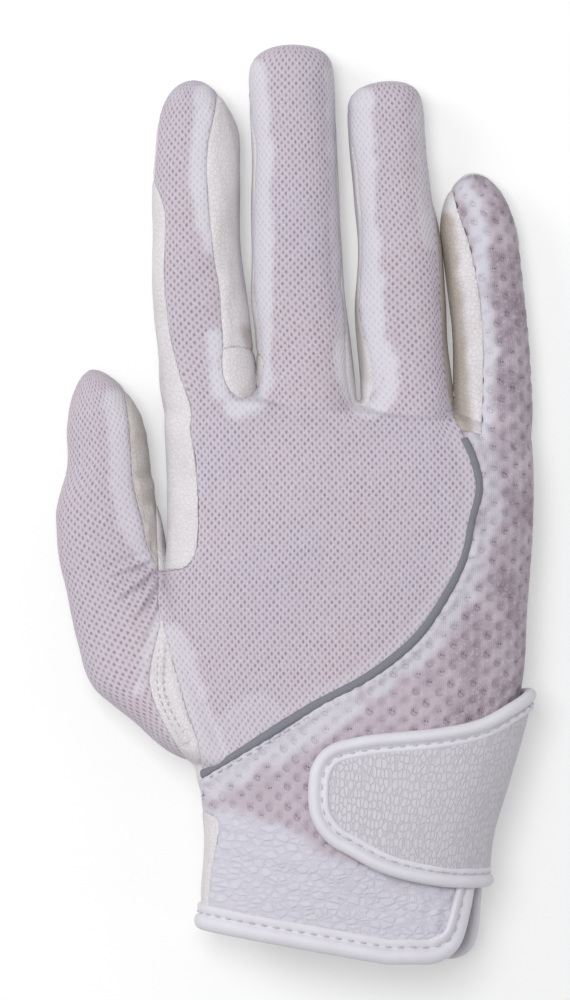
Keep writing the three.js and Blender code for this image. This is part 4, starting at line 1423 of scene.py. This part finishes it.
def spacer_finish():
    """Shallow dimples with painted shade in them and a painted shade arc on one side, and dark pinholes;
    painted shade towards the outer side; pale beside seams, crazed in the cuff.
    """
    f = Finish("spacer_mesh")
    u, v, at = f.cloth()
    du, dv, luck = f.lattice(u, v, DIMPLE_COLUMN, DIMPLE_ROW)
    du = du * DIMPLE_COLUMN + (luck - 0.5) * 0.7
    dv = dv * DIMPLE_ROW + (luck * 7 - (luck * 7).floor() - 0.5) * 0.7
    away = (du * du + dv * dv).root()
    dimple = 1 - away.rises(0.2, 1.6)
    cuff = f.on_piece("cuff")
    pale = f.on_piece("pale")
    beside = du.size() - PIN_ASIDE
    level = dv + (luck - 0.3) * du
    pin = 1 - (beside * beside + level * level).root().rises(0.05, 0.3)
    pin = pin * (luck * 5 - (luck * 5).floor()).rises(0.1, 0.6) * (1 - cuff)
    # Painted shade: a dark arc on one side of each dimple's rim.
    arc = 1 - (away - ARC_RADIUS).size().rises(0.0, 0.4)
    arc = arc * (luck * 2.4 - 1.2 - du * 0.6 - dv).rises(0.1, 0.9) * (1 - cuff)
    knit = f.noise(f.place(), 1500, 3, 0.7)
    rib = ((u * (2 * math.pi / RIB)).cos() + 1) * 0.5
    cloud = f.noise(f.place(), 120, 3, 0.6)
    comb = f.cracks(f.slanted(at), 0.52).rises(0.02, 0.24)
    # Painted shade: the cloth and its dimples darken towards the glove's outer side.
    outer_side = f.node("SeparateXYZ", {}, {"Vector": f.place()})["X"].rises(0.01, 0.052)
    shaded_outer_cloth = f.mixed(outer_side, tone(176, 166, 176), tone(143, 130, 141))
    cloth = f.mixed(cloud.rises(0.3, 0.7), shaded_outer_cloth, tone(181, 170, 180))
    cloth = f.mixed(knit.rises(0.5, 0.75), cloth, tone(190, 179, 189))
    cloth = f.mixed(pale, cloth, tone(199, 197, 207))
    cloth = f.mixed(cuff * (1 - comb) * 0.3, cloth, tone(176, 172, 186))
    # The dimples' colour, darker towards the outer side as painted shade.
    hollow = f.mixed(outer_side, tone(150, 138, 149), tone(126, 113, 124))
    deep = f.mixed(pale, hollow, tone(188, 185, 196))
    # Painted shade in each dimple.
    colour = f.mixed(dimple * 0.34 * (1 - cuff * 0.7), cloth, deep)
    colour = f.mixed(arc * (0.4 - pale * 0.2), colour, tone(122, 109, 121))
    colour = f.mixed(pin * (0.9 - pale * 0.6), colour, tone(86, 75, 86))
    height = knit * 0.6 + rib * 0.25 - pin * 0.5 - arc * 0.25 + cuff * comb * 0.9
    return f.finished(colour, 0.85, height, 0.00028, 0.6, CLOTH_SHEEN)


spacer_mesh = spacer_finish()


# %% Tape, strap leather, cord and thread
def tape_finish():
    f = Finish("binding_tape")
    weave = f.noise(f.place(), 2400, 3, 0.6)
    soft = f.noise(f.place(), 130, 2)
    colour = f.mixed(soft, tone(210, 208, 215), tone(198, 195, 203))
    return f.finished(colour, 0.6, weave, 0.00016, 0.5, {"Sheen Weight": 0.1})


def strap_finish():
    """Pebbled leather, with the cells drawn out across the strap and painted shade in the crevices between
    them.
    """
    f = Finish("strap_leather")
    _, _, at = f.cloth()
    pebble = f.cracks(at, 0.62, 0.62).rises(0.0, 0.17)
    grain = f.noise(f.place(), 1900, 3, 0.6)
    soft = f.noise(f.place(), 100, 2)
    # Painted shade in the crevices between the pebbles.
    colour = f.mixed(pebble, tone(174, 171, 179), tone(188, 185, 192))
    colour = f.mixed(soft * 0.4, colour, tone(194, 190, 197))
    return f.finished(colour, 0.5, pebble * 0.8 + grain * 0.3, 0.0003, 0.5)


def cord_finish():
    f = Finish("grey_piping")
    _, _, at = f.cloth()
    sockets = {"Vector": at, "Scale": 1.4, "Distortion": 0.8}
    weave = f.node("TexWave", {"wave_type": "BANDS"}, sockets)["Fac"]
    fibre = f.noise(f.place(), 2600, 3, 0.6)
    twisted = weave * 0.6 + fibre * 0.4
    colour = f.mixed(twisted, tone(104, 104, 114), tone(136, 136, 147))
    return f.finished(colour, 0.8, twisted, 0.0002, 0.7)


def thread_finish():
    f = Finish("stitch_thread")
    twist = f.noise(f.place(), 3500, 2)
    colour = f.mixed(twist * 0.4, tone(172, 169, 180), tone(215, 214, 221))
    return f.finished(colour, 0.6, twist, 0.0001, 0.5)


binding_tape = tape_finish()
strap_leather = strap_finish()
grey_piping = cord_finish()
stitch_thread = thread_finish()

# %% [markdown]
# ## The panels become pieces
# Each cut panel is a sheet so far. A solidify modifier gives it the thickness of the cloth,
# inwards, so that the outer side stays on the skin and the inside of the wrist shows the
# flesh side of the leather. White bands, where the turned seam shows through the fine mesh,
# and the pale and shaded parts of the other cloths, are kept as numbers at each point, which
# the finishes read.

# %% Bands of white and of shade
def stroke(points, line, half_width, fade, wander):
    """1 within a band along a line of the picture, with a soft and slightly uneven edge."""
    off, _ = from_line(points, seen(line), 2.0)
    uneven = wander * ripples(points, 5, 61)
    return 1 - rises(off + uneven, half_width - fade, half_width + fade)


def painted(white, points, bands, fade, wander):
    """Some whiteness, or where it is more, that of the bands drawn over it."""
    for line, half_width, strength in bands:
        white = np.maximum(white, strength * stroke(points, line, half_width, fade, wander))
    return white


WHITE_BANDS = [
    ([(256, 72), (261, 130), (262, 200), (262, 330), (262, 380)], 2.7, 1),
    ([(333, 72), (335, 130), (338, 200), (341, 290), (346, 345)], 2.2, 0.7),
    ([(361, 96), (362, 130), (365, 200), (370, 280), (373, 330), (373, 380)], 2.9, 1),
    ([(424, 108), (426, 160), (424, 195), (433, 240)], 2.6, 0.6),
    ([(204, 92), (201, 130), (199, 175), (204, 210), (212, 248)], 2.4, 1),
    ([(176, 96), (190, 84), (204, 92)], 2.0, 0.3),
    ([(217, 338), (216, 368), (223, 394), (238, 412), (254, 404), (265, 382), (265, 350)], 2.1, 1),
    ([(343, 345), (347, 378), (357, 402), (368, 410), (381, 403), (388, 386), (385, 350)], 2.4, 1),
    ([(447, 330), (453, 380), (460, 415), (470, 440)], 1.3, 0.7),
    ([(172, 640), (182, 670), (192, 700), (204, 730), (212, 750)], 4.2, 0.75),
    ([(203, 752), (226, 735), (262, 712)], 5.5, 0.45),
    ([(116, 400), (120, 440), (122, 490), (133, 528), (150, 556)], 2.8, 0.8),
    ([(160, 616), (150, 652), (138, 690)], 1.3, 0.8),
]


def allowance_of(data):
    """1 where a turned seam shows white through the fine mesh."""
    points = data[:, :3]
    white = 0.35 * (1 - rises(data[:, EDGE], 0.4, 1.6))
    off, _ = from_line(points, on_hand(PIPING_LINE), 2.0)
    white = np.maximum(white, 0.4 * (1 - rises(off, 2, 6)))
    return painted(white, points, WHITE_BANDS, 1.3, 0.6)


PALE_BANDS = [
    ([(464, 186), (472, 200), (480, 240), (484, 300), (487, 350), (485, 400), (480, 440)], 1.9, 0.95),
    ([(478, 440), (487, 480), (485, 515), (474, 552), (460, 590)], 2.6, 0.7),
    ([(460, 590), (432, 632), (402, 662), (372, 684)], 3.4, 0.75),
    ([(345, 700), (300, 726), (250, 754), (212, 778)], 4.6, 0.85),
]


def pale_of(data):
    """1 where the spacer mesh is white: beside its seams and in the cuff."""
    points = data[:, :3]
    white = cuff_of(points + 0.8 * ripples(points, 7, 9)[:, None])
    return painted(white, points, PALE_BANDS, 1.6, 1.0)


# Painted shade: lines in the depth between fingers, with a half width and a strength.
SHADES = {
    "fourchette_ring_little": ([(444, 225), (450, 300), (455, 360), (460, 425)], 2.9, 0.95),
    "fourchette_middle_ring": ([(353, 250), (357, 320), (364, 375)], 1.6, 0.35),
    "fourchette_index_middle": ([(247, 330), (253, 352), (258, 368)], 1.2, 0.7),
    "gusset_index_middle": ([(262, 356), (256, 378), (246, 396)], 1.5, 0.3),
}


def shade_of(name, data):
    """1 where painted shade darkens the leather in the depth between two fingers."""
    if name not in SHADES:
        return np.zeros(len(data))
    line, half_width, strength = SHADES[name]
    return strength * stroke(data[:, :3], line, half_width, 1.2, 0.4)


# %% Make the panel pieces
CLOTH_THICKNESS = 0.0006
OFF_TABLE = 0.02
PANEL_FINISH = {
    "back_panel": (fine_mesh, "mesh_fabric"),
    "thumb_back": (fine_mesh, "mesh_fabric"),
    "side_panel": (spacer_mesh, "spacer_mesh"),
    "thumb_palm": (shaded_thumb_leather, "white_leather"),
}


def give(mesh, name, values):
    """A number at each point of a mesh, for its finish to read."""
    attribute = mesh.attributes.new(name, "FLOAT", "POINT")
    attribute.data.foreach_set("value", np.asarray(values, np.float32))


def give_cloth(mesh, u, v):
    """The place on the cloth of each corner, as a UV map."""
    layer = mesh.uv_layers.new(name="cloth")
    corner = corners_of(mesh)
    layer.data.foreach_set("uv", np.stack([u[corner], v[corner]], 1).astype(np.float32).ravel())


for name, (data, faces) in panels.items():
    finish, slot = PANEL_FINISH.get(name, (white_leather, "white_leather"))
    points = data[:, :3] + data[:, 3:6] * relief(name, data)[:, None]
    points[:, 2] = np.maximum(points[:, 2], OFF_TABLE)
    inside = flesh_side if name == "palm_panel" else cloth_side
    piece = new_piece("glove_" + name, points, faces.tolist(), finish, inside)
    give_cloth(piece.data, data[:, 6], data[:, 7])
    give(piece.data, "allowance", allowance_of(data))
    give(piece.data, "pale", pale_of(data))
    give(piece.data, "shade", shade_of(name, data))
    give(piece.data, "cuff", cuff_of(data[:, :3]))
    thick = piece.modifiers.new("thickness", "SOLIDIFY")
    thick.thickness = CLOTH_THICKNESS
    thick.offset = -1
    thick.material_offset = 1
    thick.material_offset_rim = 0
    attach(piece, "root")
    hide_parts(name)
    print(piece.name, len(piece.data.vertices), "points")

# %% [markdown]
# ## Tape, strap and cord
# Tape and cord are swept: one cross-section is carried along a line on the skin. The section
# of the tape has the plump roll of the folded edge and the flat part beside it, with the
# crease that the stitches lie in, as in the picture.

# %% Sweep a section along a line on the skin
def evenly(points, normals, spacing):
    """A line and its skin directions, as stations an even distance apart."""
    run = run_along(points)
    even = np.linspace(0, run[-1], int(round(run[-1] / spacing)) + 1)
    up = read_at(even, run, normals)
    return read_at(even, run, points), up / np.linalg.norm(up, axis=1, keepdims=True)


def frames(line, up):
    """The directions inward and off the skin at each station."""
    ahead = np.gradient(line, axis=0)
    ahead /= np.linalg.norm(ahead, axis=1, keepdims=True)
    inward = np.cross(ahead, up)
    inward /= np.linalg.norm(inward, axis=1, keepdims=True)
    return inward, np.cross(inward, ahead)


def swept(line, up, section, swell):
    """Rings of a section, given as inward and off the skin, along a line."""
    inward, off = frames(line, up)
    side = section[None, :, 0, None] * inward[:, None, :]
    high = (section[None, :, 1] * swell[:, None])[..., None] * off[:, None, :]
    return line[:, None, :] + side + high


def swept_piece(name, rings, finish):
    """A closed tube from its rings, with its place on the cloth read off the rings."""
    count, sides = rings.shape[:2]
    piece = new_piece(name, rings.reshape(-1, 3), ring_faces(count, sides), finish)
    u = np.tile(np.arange(sides) * 0.3, count)
    give_cloth(piece.data, u, np.repeat(run_along(rings.mean(1)), sides))
    return piece


def rounded(section, count):
    """A closed section with its corners rounded."""
    line = curve(section + section[:1], 0.01)
    return line[:: max(1, len(line) // count)][:count]


# %% The wrist binding
CUFF_SECTION = [
    (3.2, -0.5), (3.2, 0.35), (2.9, 0.68), (2.2, 0.78), (1.5, 0.72), (1.05, 0.5), (0.85, 0.42),
    (0.6, 0.75), (0.1, 1.25), (-0.8, 1.6), (-1.8, 1.5), (-2.6, 1.0), (-3.1, 0.1), (-2.8, -0.8),
    (-2.0, -1.2), (-0.8, -1.3), (0.6, -1.1), (2.0, -0.9),
]
STATION = 0.6
HEM_UNDER_BINDING = -0.35
bend_up = HEM_UP + 0.003
back_side = list(zip(VENT["back"], VENT["up"]))[::-1]
palm_side = list(zip(360 + VENT["palm"], VENT["up"]))
hem_line = [(angle, HEM_UP) for angle in (66, 90, 130, 180, 230, 270, 310)]
cuff_path = back_side + [(50, bend_up)] + hem_line + [(360 - 34, bend_up)] + palm_side
cuff_angle, cuff_height = curve([(angle, 100 * up) for angle, up in cuff_path], 0.5).T
cuff_places = hand_station(cuff_height / 100, np.radians(cuff_angle), HEM_UNDER_BINDING)
cuff_line, cuff_up = evenly(*cuff_places, STATION)
cuff_swell = 1 + 0.05 * ripples(cuff_line, 7, 21)
cuff_rings = swept(cuff_line, cuff_up, rounded(CUFF_SECTION, 34), cuff_swell)
cuff_rings[..., 2] = np.maximum(cuff_rings[..., 2], 0.0)
cuff_binding = swept_piece("glove_cuff_binding", cuff_rings, binding_tape)
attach(cuff_binding, "root")
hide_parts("cuff_binding")
print("cuff binding:", len(cuff_line), "stations")

# %% [markdown]
# The strap is a sheet bent round the wrist. Its rows say how far round it goes, and where its
# two edges are. At the free end the edges run together in a round.

# %% The strap
STRAP = table("angle low high rise", [
    (-72, 0.168, 0.43, 0.6), (-48, 0.16, 0.445, 0.6), (-22, 0.153, 0.463, 0.6),
    (2, 0.152, 0.466, 0.6), (25, 0.152, 0.446, 0.7), (46, 0.154, 0.415, 0.85),
    (64, 0.163, 0.4, 0.75), (78, 0.18, 0.393, 0.65), (87.5, 0.207, 0.386, 0.6),
    (93.5, 0.239, 0.369, 0.6), (96.4, 0.268, 0.343, 0.6), (97.2, 0.292, 0.317, 0.6),
])
STRAP_AT = np.linspace(0, 1, len(STRAP["angle"]))
LOOP_SPREAD = 24
LOW_EDGE_TIGHT = 0.7


def strap_station(at, share, raised):
    """A point of the strap, from its sewn end at 0 to its free end at 1, and from low to high."""
    angle, low, high, rise = (smooth(at, STRAP_AT, column) for column in STRAP.values())
    slack = STRAP_LOOP * share * hill(angle, 0, LOOP_SPREAD)
    tight = (1 - share) * LOW_EDGE_TIGHT * (1 - rises(angle, 30, 80))
    lift = STRAP_RAISE * rise * (1 - tight)
    return hand_station(low + (high - low) * share, np.radians(angle), lift + raised + slack)


def strap_steps(count):
    """Places along the strap, an even distance apart on whichever edge runs farther there."""
    fine = np.linspace(0, 1, 900)
    line, _ = strap_station(fine, np.ones(900), 0)
    low_line, _ = strap_station(fine, np.zeros(900), 0)
    steps = [np.linalg.norm(np.diff(edge, axis=0), axis=1) for edge in (line, low_line)]
    run = np.concatenate([[0], np.cumsum(np.maximum(*steps))])
    return np.interp(np.linspace(0, run[-1], count), run, fine)


STRAP_ROWS = 260
STRAP_COLUMNS = 90
PEBBLE_ACROSS = 1.6
PEBBLE_ALONG = 0.8

around = strap_steps(STRAP_ROWS)
share = np.linspace(0, 1, STRAP_COLUMNS)
grid_at, grid_share = np.meshgrid(around, share, indexing="ij")
outer, _ = strap_station(grid_at, grid_share, STRAP_THICKNESS)
inner, _ = strap_station(grid_at, grid_share, 0)
strap_points = np.concatenate([outer.reshape(-1, 3), inner.reshape(-1, 3)])
number = np.arange(grid_at.size).reshape(grid_at.shape)
low = number[:-1]
high = number[1:]
over = np.stack([low[:, :-1], low[:, 1:], high[:, 1:], high[:, :-1]], -1)
under = np.stack([low[:, :-1], high[:, :-1], high[:, 1:], low[:, 1:]], -1) + number.size
strap_faces = np.stack([over, under], 2).reshape(-1, 4).tolist()
rim = [*number[:, 0], *number[-1, 1:], *number[-2::-1, -1], *number[0, -2:0:-1]]
for a, b in zip(rim, rim[1:] + rim[:1]):
    strap_faces.append((a, b, number.size + b, number.size + a))
strap = new_piece("glove_strap", strap_points, strap_faces, strap_leather)
run = run_along(outer[:, STRAP_COLUMNS // 2])
height = np.linalg.norm(outer - outer[:, :1], axis=2)
cloth_u = np.tile(np.repeat(run, STRAP_COLUMNS), 2)
cloth_v = np.tile((height - height[:, -1:] / 2).reshape(-1), 2)
give_cloth(strap.data, cloth_u * PEBBLE_ACROSS, cloth_v * PEBBLE_ALONG)
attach(strap, "root")
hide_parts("strap")
print("strap:", len(strap_faces), "faces")

# %% The strap's binding
STRAP_SECTION = [
    (2.6, -0.6), (2.6, 0.6), (2.3, 1.0), (1.7, 1.12), (1.2, 1.0), (0.95, 0.75), (0.8, 0.7),
    (0.5, 1.05), (-0.1, 1.55), (-0.9, 1.75), (-1.6, 1.5), (-2.2, 0.9), (-2.4, 0.1), (-2.2, -0.7),
    (-1.5, -1.1), (-0.5, -1.15), (0.8, -0.95),
]
edge_at = np.concatenate([around, around[::-1][1:]])
edge_share = np.concatenate([np.zeros(len(around) - 1), [0.5], np.ones(len(around) - 1)])
strap_edge = strap_station(edge_at, edge_share, STRAP_THICKNESS / 2)
strap_line, strap_up = evenly(*strap_edge, STATION)
for _ in range(3):
    strap_line[1:-1] = (strap_line[:-2] + 2 * strap_line[1:-1] + strap_line[2:]) / 4
strap_swell = 1 + 0.05 * ripples(strap_line, 6, 31)
strap_rings = swept(strap_line, strap_up, rounded(STRAP_SECTION, 32), strap_swell)
strap_binding = swept_piece("glove_strap_binding", strap_rings, binding_tape)
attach(strap_binding, "root")
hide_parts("strap_binding")
print("strap binding:", len(strap_line), "stations")

# %% The grey piping
CORD_BROAD = 1.12
CORD_HIGH = 0.68
CORD_STATION = 0.35


def skin_over(places):
    """The upper skin over points in plan, and its direction."""
    up = up_hand(places)

    def right_of(angle):
        return hand_point(hand_share(up, angle), angle)[..., 0] > places[:, 0]

    return hand_station(up, last_true(right_of, len(places), math.pi, 22), 0)


piping_line, piping_up = evenly(*skin_over(piping_plan), CORD_STATION)
turn = np.linspace(0, 2 * math.pi, 13)[:-1]
cord_section = np.stack([CORD_BROAD * np.cos(turn), CORD_HIGH * np.sin(turn) + 0.05], 1)
piping_rings = swept(piping_line, piping_up, cord_section, 1 + 0.06 * ripples(piping_line, 3, 41))
piping = swept_piece("glove_piping", piping_rings, grey_piping)
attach(piping, "root")
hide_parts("piping")
print("piping:", len(piping_line), "stations")

# %% [markdown]
# ## Stitches
# Each stitch is a short length of thread that sinks in at both ends. They are real little
# bodies, because their rows are among the first things that one sees on a glove.

# %% Stitch rows
TAPE_STITCH = (3.0, 1.6, 0.44)
MESH_STITCH = (2.7, 1.7, 0.5)
LEATHER_STITCH = (1.9, 1.1, 0.32)


def stitch_rings(line, up, inward_by, raised, pitch, dash, thick):
    """
    Closed little tubes in a row beside a line on the skin, inward of it and raised off it by
    some millimetres, with a pitch, a length and a thickness.
    """
    inward, off = frames(line, up)
    row = line + inward * inward_by + off * raised
    run = run_along(row)
    starts = np.arange(pitch, run[-1] - pitch, pitch)
    turn = np.linspace(0, 2 * math.pi, 7)[:-1]
    share = np.array([0, 0.12, 0.35, 0.65, 0.88, 1])
    fat = np.array([0.35, 0.8, 1, 1, 0.8, 0.35]) * thick / 2
    sink = np.array([-0.22, -0.06, 0, 0, -0.06, -0.22])
    out = []
    for start in starts:
        at = start + share * dash
        side = read_at(at, run, inward)[:, None]
        high = read_at(at, run, off)
        centre = read_at(at, run, row) + high * sink[:, None]
        round_it = np.cos(turn)[None, :, None] * side + np.sin(turn)[None, :, None] * high[:, None]
        out.append(centre[:, None] + fat[:, None, None] * round_it)
    return out


def stitches(name, ring_sets):
    """Rows of thread as one piece."""
    piece = new_piece(name, *joined(ring_sets), stitch_thread)
    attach(piece, "root")
    print(name, len(ring_sets), "stitches")


cuff_rows = stitch_rings(cuff_line, cuff_up, 1.15, 0.72, *TAPE_STITCH)
stitches("glove_cuff_stitching", cuff_rows)
strap_rows = stitch_rings(strap_line, strap_up, 1.1, 0.95, *TAPE_STITCH)
stitches("glove_strap_stitching", strap_rows)


def row_on_skin(line):
    """A line of the picture laid on the highest skin under it, and the skin's direction there."""
    points = []
    up = []
    for place in curve(seen(line), 0.6):
        near = np.hypot(*(skin[:, :2] - place).T) < 0.8
        top = skin[near, 2].max()
        level = near & (skin[:, 2] > top - 1.5)
        points.append([*place, skin[level, 2].mean()])
        up.append(normals[level].mean(0))
    return evenly(np.array(points), np.array(up), 0.4)


piping_side = stitch_rings(piping_line, piping_up, -1.75, 0.5, *MESH_STITCH)
stitches("glove_piping_stitching", piping_side)
leather_rows = []
for aside in (0, 6):
    row = row_on_skin([(x + aside, y) for x, y in WEDGE_SEEN])
    leather_rows += stitch_rings(*row, 0, 0.3, *LEATHER_STITCH)
stitches("glove_leather_stitching", leather_rows)

# %% [markdown]
# ## The floor
# The floor is a plain pale sheet, a little lighter than white leather, so that the outline of
# the glove reads against it as it does in the picture.

# %% Floor
FLOOR_REACH = 4
FLOOR_DROP = 0.0002

f = Finish("pale_floor")
dust = f.noise(f.place(), 6, 2)
floor_colour = f.mixed(dust, (0.62, 0.62, 0.622, 1), (0.63, 0.63, 0.631, 1))
pale_floor = f.surfaced({
    "Base Color": floor_colour,
    "Roughness": 0.9,
    "Specular IOR Level": 0.1,
    "Emission Color": floor_colour,
    "Emission Strength": 0.45,
})
floor_mesh = bpy.data.meshes.new("floor")
corners = [(x * FLOOR_REACH, y * FLOOR_REACH, 0) for x, y in ((-1, -1), (1, -1), (1, 1), (-1, 1))]
floor_mesh.from_pydata(corners, [], [(0, 1, 2, 3)])
floor_mesh.materials.append(pale_floor)
floor = bpy.data.objects.new("floor", floor_mesh)
floor.location = (0, 0, -FLOOR_DROP)
scene.collection.objects.link(floor)
